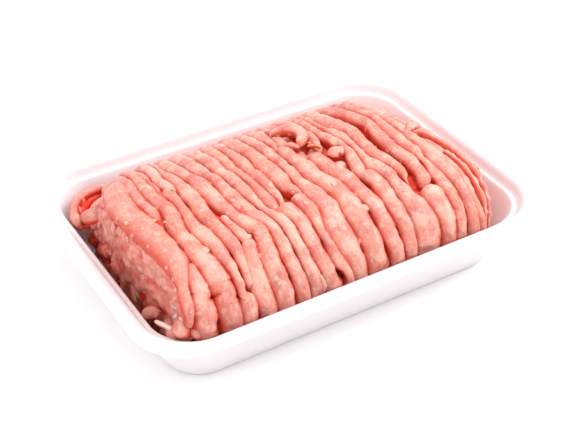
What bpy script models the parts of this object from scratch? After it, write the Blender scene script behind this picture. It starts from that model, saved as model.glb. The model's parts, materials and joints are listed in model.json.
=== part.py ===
"""A tray of coarse minced meat: a stepped foam tray, and the loaf of pressed strands that fills it.

Units are metres. +X runs along the tray's length, +Y to its back and +Z up. The origin is the
centre of the flat underside, on the surface that the tray stands on.
"""

import math

import bmesh
import bpy
from mathutils import Vector, noise

MM = 0.001
GAP = 0.3 * MM  # between pieces that touch
WALL_GAP = 0.5 * MM  # between the meat and the tray's wall, whose corners are faceted

# Tray. An inset is a distance in from the outside of the rim, a drop a distance down from its top.
TRAY_LENGTH = 187 * MM
TRAY_DEPTH = 137 * MM
TRAY_HEIGHT = 30.7 * MM
FOAM = 2.8 * MM  # thickness of the sheet that the tray is pressed from
LIP = FOAM / 2  # radius of the rim's rounded outer edge
RIM_CORNER_RADIUS = 23.3 * MM
CORNER_TIGHTENING = 0.44  # how much smaller a corner's radius gets for each unit of inset
CORNER_STEPS = 7
SHELF_DROP = 4.7 * MM
SHELF_INSET = 8.4 * MM
SHELF_WIDTH = 1.9 * MM
SHOULDER = ((3.4, 0.0), (5.2, 0.45), (6.5, 1.4), (7.3, 2.9), (7.7, 4.2))  # inset and drop, mm
BASE_INSET = 16.5 * MM  # of the outer wall where it meets the underside
BASE_EDGE = 2.4 * MM
FLOOR_EDGE = 3.6 * MM
STEP_LOW = TRAY_HEIGHT - SHELF_DROP - 0.8 * FOAM  # heights of the step under the rim
STEP_HIGH = TRAY_HEIGHT - FOAM
STEP_LOW_INSET = SHELF_INSET - 0.9 * MM
STEP_HIGH_INSET = 4.5 * MM
SHELF_HEIGHT = TRAY_HEIGHT - SHELF_DROP
FOAM_COLOUR = (0.93, 0.92, 0.92)
FOAM_ROUGHNESS = 0.5

# Loaf of strands.
LOAF_LEFT = -72 * MM
LOAF_RIGHT = 80.5 * MM
LOAF_HEIGHT = 51.0 * MM
CREST_Y = -22 * MM  # the loaf leans forward: its crest is in front of the middle
FLANK_FRONT = 58.4 * MM
FLANK_BACK = 54.5 * MM
FLANK_SHARES = (0.0, 0.25, 0.62)  # places up the front flank, from its foot to its spring
FRONT_SPRING = 25 * MM  # height at which the front's curve starts
FRONT_SPRING_SHARE = 0.6  # and its most, as a share of the crest's height
BACK_SPRING = 15 * MM
FRONT_ROUNDNESS = 2.6  # exponents of the two quarter curves, 2 being an ellipse
BACK_ROUNDNESS = 2.05
FRONT_STEPS = 8
BACK_STEPS = 9
FALL_START = 52 * MM  # to the right of this the crest comes down
FALL_HEIGHT = 30.3 * MM
DRAW_BACK = (56 * MM, 29 * MM, 40 * MM)  # of the front at the right: start, stretch and amount
DRAW_IN = (-54 * MM, 20 * MM, 11.5 * MM)  # of the back at the left
CREST_UNEVENNESS = 0.7 * MM
CREST_WAVE = 17 * MM
LUMPINESS = 0.5 * MM
LUMP_WAVE = 9 * MM
LANE_WIDTHS = (
    10.2, 6.3, 6.7, 6.7, 9.0, 6.6, 6.2, 6.5, 8.4, 7.6, 9.2, 7.0,
    6.8, 7.5, 6.0, 8.1, 5.6, 5.2, 5.0, 4.8, 4.6, 4.4,
)  # of the strands from left to right, in proportion
CREASE_DEPTH = 1.5 * MM
CREST_SETBACK = 0.4 * MM  # of a strand's crown from the loaf's outline
CROWN = ((0.0, 1.0), (0.22, 0.24), (0.5, 0.0), (0.78, 0.24))  # place in a lane, share of the depth
RELIEF_START = 6.8 * MM  # above this height the strands show, and fully so after the stretch
RELIEF_STRETCH = 14 * MM
# Places where strands swerve together: x, arc length over the loaf, shift, reach in x, reach in arc.
SWERVES = (
    (-58, 50, -2.5, 7, 13),
    (-52, 8, 2.0, 8, 14),
    (-36, 52, -2.5, 7, 12),
    (-20, 48, -3.5, 8, 14),
    (-4, 40, 2.0, 9, 10),
    (-10, 26, -2.5, 6, 10),
    (22, 50, -2.0, 7, 12),
    (36, 62, -2.5, 6, 12),
    (38, 42, 1.5, 6, 7),
    (34, 32, -2.0, 5, 8),
)
LEAN = 0.16  # sideways shift of the strands down the back, for each unit of arc length
LEAN_START = 85 * MM
LEAN_STRETCH = 25 * MM
STEADY_LEFT = 8 * MM  # near its ends the loaf's strands neither swerve nor lean
STEADY_RIGHT = 30 * MM
END_RINGS = ((0.80, 0.9), (0.42, 0.5))  # an end's inner rings: scale, and bulge in mm
END_ROUGHNESS = 1.3 * MM
END_WAVE = 8 * MM
END_BULGE = 0.4 * MM

# The strand that has come away and lies round the back left corner: its route in mm.
STRAND_ROUTE = (
    (-59, 53.2, 22), (-66, 51.2, 23.5), (-74, 46.8, 24.5),
    (-79.2, 39.2, 25.5), (-79.7, 31, 25), (-78.8, 24, 22),
)
STRAND_RADIUS = 2.6 * MM
STRAND_TAPER = 0.62  # radius of its two ends, as a share

# The torn lump of strand ends and fat in the front left corner.
LUMP_HALF_SIZE = (3.9, 6.0, 3.6)
LUMP_PLACE = Vector((-77.7, -41.0, 22.0))
LUMP_ROUGHNESS = 0.28
LUMP_NOISE_SCALE = 1.7

MEAT_COLOUR = (0.86, 0.40, 0.33)
MEAT_ROUGHNESS = 0.45
SHARP_ANGLE = math.radians(50)


def new_object(name, bm, colour, roughness):
    """Turns a bmesh into a smooth-shaded named object with its own Principled material."""
    bmesh.ops.recalc_face_normals(bm, faces=bm.faces)
    mesh = bpy.data.meshes.new(name)
    bm.to_mesh(mesh)
    bm.free()
    for polygon in mesh.polygons:
        polygon.use_smooth = True
    mesh.set_sharp_from_angle(angle=SHARP_ANGLE)
    material = bpy.data.materials.new(name + "_finish")
    material.use_nodes = True
    shader = material.node_tree.nodes["Principled BSDF"]
    shader.inputs["Base Color"].default_value = (*colour, 1.0)
    shader.inputs["Roughness"].default_value = roughness
    mesh.materials.append(material)
    bpy.context.scene.collection.objects.link(bpy.data.objects.new(name, mesh))


def arc(centre_inset, centre_z, radius, start, end, steps):
    """Profile points round part of a circle, as (inset, z), from one angle to another in degrees."""
    points = []
    for step in range(steps + 1):
        angle = math.radians(start + (end - start) * step / steps)
        points.append((centre_inset + radius * math.cos(angle), centre_z + radius * math.sin(angle)))
    return points


def outer_wall_inset(z):
    """Inset of the tray's outer wall at a height: a straight taper up to the step under the rim."""
    share = (z - BASE_EDGE) / (STEP_LOW - BASE_EDGE)
    return BASE_INSET + (STEP_LOW_INSET - BASE_INSET) * share


def inner_wall_inset(z):
    """Inset of the tray's inner wall, from the floor up to the shelf."""
    top_inset = SHELF_INSET + SHELF_WIDTH
    floor_inset = BASE_INSET + FOAM
    return floor_inset + (top_inset - floor_inset) * (z - FOAM) / (SHELF_HEIGHT - FOAM)


def tray_profile():
    """The tray wall's outline as (inset, z), from the underside up the outside, over and down to the floor."""
    points = arc(BASE_INSET + BASE_EDGE, BASE_EDGE, BASE_EDGE, 270, 190, 4)
    points.append((outer_wall_inset(STEP_LOW / 2), STEP_LOW / 2))
    points.append((STEP_LOW_INSET, STEP_LOW))
    points.append((STEP_HIGH_INSET, STEP_HIGH - LIP / 2))
    points.append((LIP * 2.4, STEP_HIGH))
    points += arc(LIP, TRAY_HEIGHT - LIP, LIP, 270, 90, 6)
    points += [(inset * MM, TRAY_HEIGHT - drop * MM) for inset, drop in SHOULDER]
    points.append((SHELF_INSET, SHELF_HEIGHT))
    points.append((SHELF_INSET + SHELF_WIDTH * 0.75, SHELF_HEIGHT - 0.1 * MM))
    below_shelf = SHELF_HEIGHT - 0.9 * MM
    points.append((inner_wall_inset(below_shelf), below_shelf))
    middle = (SHELF_HEIGHT + FOAM) / 2
    points.append((inner_wall_inset(middle), middle))
    foot = FOAM + FLOOR_EDGE
    points += arc(inner_wall_inset(foot) + FLOOR_EDGE, foot, FLOOR_EDGE, 180, 262, 4)
    points.append((inner_wall_inset(foot) + FLOOR_EDGE * 1.6, FOAM))
    return points


def corner_radius(inset):
    """Corner radius of the tray's plan outline at an inset from the rim."""
    return RIM_CORNER_RADIUS - CORNER_TIGHTENING * inset


def plan_ring(bm, inset, z):
    """One level ring of the tray: a rounded rectangle, as a closed loop of edges."""
    half_x = TRAY_LENGTH / 2 - inset
    half_y = TRAY_DEPTH / 2 - inset
    radius = corner_radius(inset)
    verts = []
    for quarter, (sign_x, sign_y) in enumerate(((1, 1), (-1, 1), (-1, -1), (1, -1))):
        for step in range(CORNER_STEPS + 1):
            angle = math.radians(90 * (quarter + step / CORNER_STEPS))
            x = sign_x * (half_x - radius) + radius * math.cos(angle)
            y = sign_y * (half_y - radius) + radius * math.sin(angle)
            verts.append(bm.verts.new((x, y, z)))
    return [bm.edges.new((a, b)) for a, b in zip(verts, verts[1:] + verts[:1])]


def make_tray():
    """Lofts the wall's profile round the plan and fills the underside and the floor."""
    bm = bmesh.new()
    rings = [plan_ring(bm, inset, z) for inset, z in tray_profile()]
    for lower, upper in zip(rings, rings[1:]):
        bmesh.ops.bridge_loops(bm, edges=lower + upper)
    for end in (rings[0], rings[-1]):
        bmesh.ops.contextual_create(bm, geom=end)
    new_object("tray", bm, FOAM_COLOUR, FOAM_ROUGHNESS)


def cavity_inset(z):
    """Inset of the tray's inside at a height, with the rounding at the floor and the step over the shelf."""
    if z > SHELF_HEIGHT:
        return SHELF_INSET
    drop = max(FOAM + FLOOR_EDGE - z, 0.0)
    return inner_wall_inset(z) + FLOOR_EDGE - math.sqrt(max(FLOOR_EDGE**2 - drop**2, 0.0))


def cavity_floor(x):
    """Lowest free height inside the tray at a place along its length, where the end wall slopes up."""
    z = FOAM
    while abs(x) + GAP > TRAY_LENGTH / 2 - cavity_inset(z):
        z += 0.1 * MM
    return z


def cavity_half_depth(x, z):
    """Free half depth inside the tray at a place along its length and a height."""
    inset = cavity_inset(z)
    half_x = TRAY_LENGTH / 2 - inset
    half_y = TRAY_DEPTH / 2 - inset
    radius = corner_radius(inset)
    past = abs(x) - (half_x - radius)
    if past <= 0:
        return half_y
    return half_y - radius + math.sqrt(max(radius**2 - past**2, 0.0))


def inside_tray(place):
    """Moves a place that is level with the tray's wall to just inside it."""
    if place.z > TRAY_HEIGHT:
        return place
    half_length = TRAY_LENGTH / 2 - cavity_inset(place.z) - WALL_GAP
    x = min(max(place.x, -half_length), half_length)
    half_depth = cavity_half_depth(x, place.z) - WALL_GAP
    return Vector((x, min(max(place.y, -half_depth), half_depth), place.z))


def smooth(share):
    """Eases a share from 0 to 1 with no slope at its ends."""
    share = min(max(share, 0.0), 1.0)
    return share * share * (3 - 2 * share)


def crest_height(x):
    """Height of the loaf's crest: level, then down towards the right-hand end."""
    fall = smooth((x - FALL_START) / (LOAF_RIGHT - FALL_START))
    unevenness = CREST_UNEVENNESS * noise.noise(Vector((x / CREST_WAVE, 3.1, 0.4)))
    return LOAF_HEIGHT + unevenness - (LOAF_HEIGHT - FALL_HEIGHT) * fall


def front_edge(x):
    """Depth of the loaf in front of the middle: it draws back at the right-hand end."""
    start, stretch, amount = DRAW_BACK
    return FLANK_FRONT - amount * smooth((x - start) / stretch)


def back_edge(x):
    """Depth of the loaf behind the middle: it draws in at the left-hand end."""
    start, stretch, amount = DRAW_IN
    return FLANK_BACK - amount * smooth((start - x) / stretch)


def section(x):
    """The loaf's outline across its length, as (y, z) from the foot of the front to that of the back."""
    crest = crest_height(x)
    front = front_edge(x)
    back = back_edge(x)
    front_spring = min(FRONT_SPRING, crest * FRONT_SPRING_SHARE)
    foot = cavity_floor(x) + GAP
    points = [(-front, foot + (front_spring - foot) * share) for share in FLANK_SHARES]
    for step in range(FRONT_STEPS):
        angle = math.radians(90 * step / FRONT_STEPS)
        reach = math.cos(angle) ** (2 / FRONT_ROUNDNESS)
        rise = math.sin(angle) ** (2 / FRONT_ROUNDNESS)
        points.append((CREST_Y - (front + CREST_Y) * reach, front_spring + (crest - front_spring) * rise))
    points.append((CREST_Y, crest))
    for step in range(1, BACK_STEPS):
        angle = math.radians(90 * (1 - step / BACK_STEPS))
        reach = math.cos(angle) ** (2 / BACK_ROUNDNESS)
        rise = math.sin(angle) ** (2 / BACK_ROUNDNESS)
        points.append((CREST_Y + (back - CREST_Y) * reach, BACK_SPRING + (crest - BACK_SPRING) * rise))
    points += [(back, BACK_SPRING), (back, (BACK_SPRING + foot) / 2), (back, foot)]
    return points


def swerve(x, along):
    """Sideways shift of the strands at a place, from the places where they swerve together."""
    shift = LEAN * min(max(along - LEAN_START, 0.0), LEAN_STRETCH)
    for at_x, at_along, amount, reach_x, reach_along in SWERVES:
        far_x = (x / MM - at_x) / reach_x
        far_along = (along / MM - at_along) / reach_along
        shift += amount * MM * math.exp(-far_x * far_x - far_along * far_along)
    return shift * smooth((x - LOAF_LEFT) / STEADY_LEFT) * smooth((LOAF_RIGHT - x) / STEADY_RIGHT)


def columns():
    """Places along the loaf's length: four to a lane, each with its share of the crease's depth."""
    places = []
    edge = LOAF_LEFT
    for width in LANE_WIDTHS:
        lane = width / sum(LANE_WIDTHS) * (LOAF_RIGHT - LOAF_LEFT)
        places += [(edge + place * lane, depth) for place, depth in CROWN]
        edge += lane
    places.append((LOAF_RIGHT, 1.0))
    return places


def loaf_ring(bm, x, share_of_depth):
    """One ring of vertices across the loaf, set in where a crease runs, swerving with the strands."""
    outline = section(x)
    verts = []
    along = 0.0
    for index, (y, z) in enumerate(outline):
        if index:
            along += math.dist(outline[index - 1], (y, z))
        free = smooth((z - RELIEF_START) / RELIEF_STRETCH)
        near_x = x + swerve(x, along) * free
        before = outline[max(index - 1, 0)]
        after = outline[min(index + 1, len(outline) - 1)]
        out = Vector((0, before[1] - after[1], after[0] - before[0])).normalized()
        lump = LUMPINESS * noise.noise(Vector((near_x, y, z)) / LUMP_WAVE)
        set_in = (CREASE_DEPTH * share_of_depth + CREST_SETBACK - lump) * free
        verts.append(bm.verts.new(inside_tray(Vector((near_x, y, z)) - out * set_in)))
    return verts


def close_end(bm, ring, side):
    """Closes an end with two smaller rings and a fan, bulged unevenly like torn meat."""
    middle = sum((vert.co for vert in ring), Vector()) / len(ring)
    outer = ring
    for scale, bulge in END_RINGS:
        inner = []
        for vert in ring:
            place = middle + (vert.co - middle) * scale
            rough = noise.noise(place / END_WAVE)
            place.x += side * (bulge * MM + END_ROUGHNESS * rough)
            inner.append(bm.verts.new(inside_tray(place)))
        for index in range(len(ring)):
            after = (index + 1) % len(ring)
            bm.faces.new((outer[index], outer[after], inner[after], inner[index]))
        outer = inner
    centre = bm.verts.new(middle + Vector((side * END_BULGE, 0, 0)))
    for index in range(len(outer)):
        bm.faces.new((outer[index], outer[(index + 1) % len(outer)], centre))


def make_loaf():
    """Joins the rings into the loaf and closes its sheared left end and its low right one."""
    bm = bmesh.new()
    rings = [loaf_ring(bm, x, depth) for x, depth in columns()]
    for left, right in zip(rings, rings[1:]):
        pairs = list(zip(left, right))
        for (a, b), (c, d) in zip(pairs, pairs[1:] + pairs[:1]):
            bm.faces.new((a, c, d, b))
    close_end(bm, rings[0], -1.0)
    close_end(bm, rings[-1], 1.0)
    new_object("mince_loaf", bm, MEAT_COLOUR, MEAT_ROUGHNESS)


def make_corner_strand():
    """A single strand that has come away and lies round the back left corner, along the shelf."""
    curve = bpy.data.curves.new("corner_strand", "CURVE")
    curve.dimensions = "3D"
    curve.bevel_depth = STRAND_RADIUS
    curve.bevel_resolution = 2
    curve.resolution_u = 3
    curve.use_fill_caps = True
    spline = curve.splines.new("NURBS")
    spline.points.add(len(STRAND_ROUTE) - 1)
    spline.order_u = 4
    spline.use_endpoint_u = True
    for point, place in zip(spline.points, STRAND_ROUTE):
        point.co = (*(value * MM for value in place), 1.0)
    for end in (0, -1):
        spline.points[end].radius = STRAND_TAPER
    guide = bpy.data.objects.new("corner_strand_guide", curve)
    mesh = bpy.data.meshes.new_from_object(guide)
    bpy.data.objects.remove(guide)
    bm = bmesh.new()
    bm.from_mesh(mesh)
    bpy.data.meshes.remove(mesh)
    bmesh.ops.remove_doubles(bm, verts=bm.verts, dist=GAP / 100)
    new_object("corner_strand", bm, MEAT_COLOUR, MEAT_ROUGHNESS)


def make_torn_lump():
    """A torn lump of strand ends and fat that lies in the front left corner."""
    bm = bmesh.new()
    bmesh.ops.create_icosphere(bm, subdivisions=3, radius=1.0)
    for vert in bm.verts:
        rough = 1 + LUMP_ROUGHNESS * noise.noise(vert.co * LUMP_NOISE_SCALE + Vector((5, 2, 1)))
        place = Vector(a * b for a, b in zip(vert.co, LUMP_HALF_SIZE)) * rough
        vert.co = inside_tray((place + LUMP_PLACE) * MM)
    new_object("torn_lump", bm, MEAT_COLOUR, MEAT_ROUGHNESS)


def main():
    for obj in list(bpy.data.objects):
        bpy.data.objects.remove(obj)
    make_tray()
    make_loaf()
    make_corner_strand()
    make_torn_lump()


main()
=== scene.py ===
"""Looks of a tray of coarse minced meat: a foam tray, strands of meat pressed into a loaf, and fat.

Places on the loaf are given as (x, s): x runs along the tray and s is the length along the loaf's
outline, up its front from just under the rim, over the crest and down its back. Sizes are in
millimetres until a mesh is made, which is in metres.
"""

import json
import logging
import math
from collections.abc import Callable, Iterable, Sequence
from dataclasses import dataclass, field
from enum import Enum

import bmesh
import bpy
import numpy as np
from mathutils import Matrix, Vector

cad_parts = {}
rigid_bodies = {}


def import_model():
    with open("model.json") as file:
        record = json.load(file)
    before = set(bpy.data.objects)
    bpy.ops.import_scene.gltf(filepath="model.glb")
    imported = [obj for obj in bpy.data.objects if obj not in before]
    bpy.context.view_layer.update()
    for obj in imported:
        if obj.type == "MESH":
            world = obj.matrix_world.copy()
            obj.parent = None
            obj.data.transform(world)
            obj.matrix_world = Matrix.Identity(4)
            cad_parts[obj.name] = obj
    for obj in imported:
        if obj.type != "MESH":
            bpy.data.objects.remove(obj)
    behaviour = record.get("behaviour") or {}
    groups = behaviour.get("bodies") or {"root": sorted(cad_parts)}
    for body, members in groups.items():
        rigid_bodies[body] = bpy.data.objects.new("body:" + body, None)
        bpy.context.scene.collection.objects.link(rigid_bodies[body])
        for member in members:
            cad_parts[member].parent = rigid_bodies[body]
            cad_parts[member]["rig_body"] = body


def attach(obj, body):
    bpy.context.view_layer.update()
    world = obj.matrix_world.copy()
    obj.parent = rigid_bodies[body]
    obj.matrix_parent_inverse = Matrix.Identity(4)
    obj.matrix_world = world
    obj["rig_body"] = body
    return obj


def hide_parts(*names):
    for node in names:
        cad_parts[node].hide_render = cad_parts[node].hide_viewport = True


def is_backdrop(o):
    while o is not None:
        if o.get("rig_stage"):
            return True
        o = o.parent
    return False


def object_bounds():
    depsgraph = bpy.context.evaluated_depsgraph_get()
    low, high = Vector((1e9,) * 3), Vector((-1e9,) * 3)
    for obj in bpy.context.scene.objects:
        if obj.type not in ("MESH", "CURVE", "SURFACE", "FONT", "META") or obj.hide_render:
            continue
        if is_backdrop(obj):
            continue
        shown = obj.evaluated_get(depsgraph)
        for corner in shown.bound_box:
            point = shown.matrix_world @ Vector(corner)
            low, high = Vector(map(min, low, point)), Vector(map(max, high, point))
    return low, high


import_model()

MM = 0.001
CAD_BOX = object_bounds()
ROOT = "root"

Path = tuple[tuple[float, float], ...]


# ---------------------------------------------------------------------------------------------
# Helpers
# ---------------------------------------------------------------------------------------------


def linear(hex_colour: str) -> tuple[float, float, float, float]:
    """Turns an sRGB hex colour into the linear colour that the shaders take.

    Args:
        hex_colour: Six hex digits, such as "F4B8A8".

    Returns:
        Red, green, blue and an alpha of 1.
    """
    values = [int(hex_colour[i : i + 2], 16) / 255 for i in (0, 2, 4)]
    red, green, blue = (v / 12.92 if v <= 0.04045 else ((v + 0.055) / 1.055) ** 2.4 for v in values)
    return red, green, blue, 1.0


def add_node(tree: bpy.types.NodeTree, kind: str, settings: dict | None = None, **links: object) -> bpy.types.Node:
    """Adds a node to a tree with its settings, values and links.

    Args:
        tree: The tree that gets the node.
        kind: The node's type name.
        settings: Attributes of the node, set before its sockets are read.
        links: Socket name, with spaces as underscores, or i and a number, to a value or an output socket.

    Returns:
        The new node.
    """
    node = tree.nodes.new(kind)
    for name, value in (settings or {}).items():
        setattr(node, name, value)
    for name, value in links.items():
        number = name[1:] if name[0] == "i" and name[1:].isdigit() else None
        socket = node.inputs[int(number)] if number else node.inputs[name.replace("_", " ")]
        if isinstance(value, bpy.types.NodeSocket):
            tree.links.new(value, socket)
        else:
            socket.default_value = value
    return node


def smooth(share: np.ndarray | float) -> np.ndarray:
    """Eases a share from 0 to 1 with no slope at its ends."""
    share = np.clip(share, 0.0, 1.0)
    return share * share * (3 - 2 * share)


def mesh_object(name: str, points: np.ndarray, faces: Iterable[Sequence[int]]) -> bpy.types.Object:
    """Makes a smooth-shaded object from points in millimetres.

    Args:
        name: The object's name.
        points: An array of places, three numbers each.
        faces: Corner numbers of each face.

    Returns:
        The object, linked to the scene.
    """
    mesh = bpy.data.meshes.new(name)
    mesh.from_pydata((np.asarray(points, float) * MM).tolist(), [], [list(face) for face in faces])
    mesh.update()
    mesh.shade_smooth()
    obj = bpy.data.objects.new(name, mesh)
    bpy.context.scene.collection.objects.link(obj)
    return obj


def face_outwards(obj: bpy.types.Object) -> None:
    """Merges doubles and turns every face of a closed mesh outwards."""
    bm = bmesh.new()
    bm.from_mesh(obj.data)
    bmesh.ops.remove_doubles(bm, verts=bm.verts, dist=1e-6)
    bmesh.ops.recalc_face_normals(bm, faces=bm.faces)
    bm.to_mesh(obj.data)
    bm.free()


def grid_faces(rows: int, columns: int, closed: bool) -> list[tuple[int, int, int, int]]:
    """Quads of a grid of points laid out row by row, the rows being rings if it is closed."""
    faces = []
    for row in range(rows - 1):
        for column in range(columns if closed else columns - 1):
            after = (column + 1) % columns
            faces.append((row * columns + column, row * columns + after, (row + 1) * columns + after, (row + 1) * columns + column))
    return faces


def apply_nodes(obj: bpy.types.Object) -> bpy.types.Object:
    """Turns what an object's Geometry Nodes make into its plain mesh and removes the modifier."""
    graph = bpy.context.evaluated_depsgraph_get()
    made = bpy.data.meshes.new_from_object(obj.evaluated_get(graph), preserve_all_data_layers=True, depsgraph=graph)
    obj.modifiers.clear()
    old = obj.data
    obj.data = made
    bpy.data.meshes.remove(old)
    return obj


def spread_attribute(mesh: bpy.types.Mesh, name: str, values: np.ndarray) -> None:
    """Stores a number on every point of a mesh."""
    mesh.attributes.new(name, "FLOAT", "POINT").data.foreach_set("value", np.asarray(values, np.float32))


def new_geometry_tree(name: str, inputs: dict[str, str]) -> tuple[bpy.types.NodeTree, bpy.types.bpy_prop_collection]:
    """Starts a Geometry Nodes tree.

    Args:
        name: The tree's name.
        inputs: Names of its inputs to kinds such as "Float".

    Returns:
        The tree, and the sockets that its inputs come in by.
    """
    tree = bpy.data.node_groups.new(name, "GeometryNodeTree")
    tree.interface.new_socket("Geometry", in_out="INPUT", socket_type="NodeSocketGeometry")
    for label, kind in inputs.items():
        tree.interface.new_socket(label, in_out="INPUT", socket_type=f"NodeSocket{kind}")
    tree.interface.new_socket("Geometry", in_out="OUTPUT", socket_type="NodeSocketGeometry")
    return tree, add_node(tree, "NodeGroupInput").outputs


def tree_tools(tree: bpy.types.NodeTree) -> tuple[Callable, Callable, Callable]:
    """Makes the three shorthands that a tree of sums needs.

    Args:
        tree: The tree.

    Returns:
        Functions that read a named attribute, add a vector sum, and add a sum of numbers.
    """

    def read(name: str, kind: str = "FLOAT") -> bpy.types.NodeSocket:
        """Reads a named attribute."""
        return add_node(tree, "GeometryNodeInputNamedAttribute", {"data_type": kind}, Name=name).outputs["Attribute"]

    def vector(operation: str, *values: object) -> bpy.types.Node:
        """Adds a vector sum with its values in order."""
        return add_node(tree, "ShaderNodeVectorMath", {"operation": operation}, **{f"i{n}": v for n, v in enumerate(values)})

    def number(operation: str, *values: object) -> bpy.types.NodeSocket:
        """Adds a sum of numbers with its values in order."""
        return add_node(tree, "ShaderNodeMath", {"operation": operation}, **{f"i{n}": v for n, v in enumerate(values)}).outputs[0]

    return read, vector, number


def store(tree: bpy.types.NodeTree, geometry: bpy.types.NodeSocket, name: str, value: bpy.types.NodeSocket, kind: str = "FLOAT") -> bpy.types.NodeSocket:
    """Adds a node that stores a named attribute on points.

    Args:
        tree: The tree.
        geometry: What gets the attribute.
        name: The attribute's name.
        value: Its value.
        kind: Its data type.

    Returns:
        The geometry that carries it.
    """
    return add_node(tree, "GeometryNodeStoreNamedAttribute", {"data_type": kind, "domain": "POINT"}, Geometry=geometry, Name=name, Value=value).outputs[0]


def close_tree(tree: bpy.types.NodeTree, geometry: bpy.types.NodeSocket, material: bpy.types.NodeSocket) -> None:
    """Ends a tree: smooth shading, instances made real, and the material."""
    soft = add_node(tree, "GeometryNodeSetShadeSmooth", Geometry=geometry).outputs[0]
    real = add_node(tree, "GeometryNodeRealizeInstances", Geometry=soft).outputs[0]
    dressed = add_node(tree, "GeometryNodeSetMaterial", Geometry=real, Material=material).outputs[0]
    add_node(tree, "NodeGroupOutput", Geometry=dressed)


def run_tree(obj: bpy.types.Object, tree: bpy.types.NodeTree, values: dict[str, object]) -> None:
    """Runs a tree on an object and leaves the plain mesh that it makes.

    Args:
        obj: The object.
        tree: The tree.
        values: Its inputs by name.
    """
    modifier = obj.modifiers.new(tree.name, "NODES")
    modifier.node_group = tree
    for item in tree.interface.items_tree:
        if item.in_out == "INPUT" and item.name in values:
            modifier[item.identifier] = values[item.name]
    apply_nodes(obj)


def finish_piece(obj: bpy.types.Object, slot: str, *replaced: str) -> bpy.types.Object:
    """Hangs a finished piece on the frame.

    Args:
        obj: The piece.
        slot: The record's material slot that it belongs to; not used.
        replaced: CAD nodes that the piece stands for.

    Returns:
        The same piece.
    """
    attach(obj, ROOT)
    if replaced:
        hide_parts(*replaced)
    triangles = sum(len(polygon.vertices) - 2 for polygon in obj.data.polygons)
    logging.info("%s: %d triangles", obj.name, triangles)
    return obj


# ---------------------------------------------------------------------------------------------
# Finishes
# ---------------------------------------------------------------------------------------------


@dataclass(frozen=True)
class FoamFinish:
    """White expanded polystyrene, thermoformed from sheet: satin skin over fine closed cells.

    A painted pink tint on the inner wall beside the loaf stands in for light reflected from the meat.
    """

    name: str = "expanded_polystyrene_sheet"
    colour: str = "E2DCDE"
    # Painted reflection: the pink that light bounced off the meat gives the inner wall.
    painted_meat_bounce: str = "FBD6CF"
    roughness: float = 0.4
    cell_mm: float = 0.9
    scatter_mm: float = 2.5

    def make(self) -> bpy.types.Material:
        """Builds the material: the cells give the skin a faint grain, and a painted pink reflection of the meat tints
        the inner wall.
        """
        material = bpy.data.materials.new(self.name)
        material.use_nodes = True
        tree = material.node_tree
        shader = tree.nodes["Principled BSDF"]
        shader.inputs["Roughness"].default_value = self.roughness
        shader.inputs["IOR"].default_value = 1.5
        shader.inputs["Subsurface Weight"].default_value = 1.0
        shader.inputs["Subsurface Radius"].default_value = (1.0, 0.97, 0.97)
        shader.inputs["Subsurface Scale"].default_value = self.scatter_mm * MM
        place = add_node(tree, "ShaderNodeTexCoord").outputs["Object"]
        # Painted reflection: this attribute mixes in the pink that stands for light bounced off the meat.
        bounce_share = add_node(tree, "ShaderNodeAttribute", {"attribute_name": "painted_meat_bounce"}).outputs["Fac"]
        tint = add_node(tree, "ShaderNodeMix", {"data_type": "RGBA"}, Factor=bounce_share, i6=linear(self.colour), i7=linear(self.painted_meat_bounce))
        tree.links.new(tint.outputs[2], shader.inputs["Base Color"])
        cells = add_node(tree, "ShaderNodeTexVoronoi", Vector=place, Scale=1 / (self.cell_mm * MM))
        bump = add_node(tree, "ShaderNodeBump", Strength=0.05, Distance=0.1 * MM, Height=cells.outputs["Distance"])
        tree.links.new(bump.outputs["Normal"], shader.inputs["Normal"])
        return material


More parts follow.
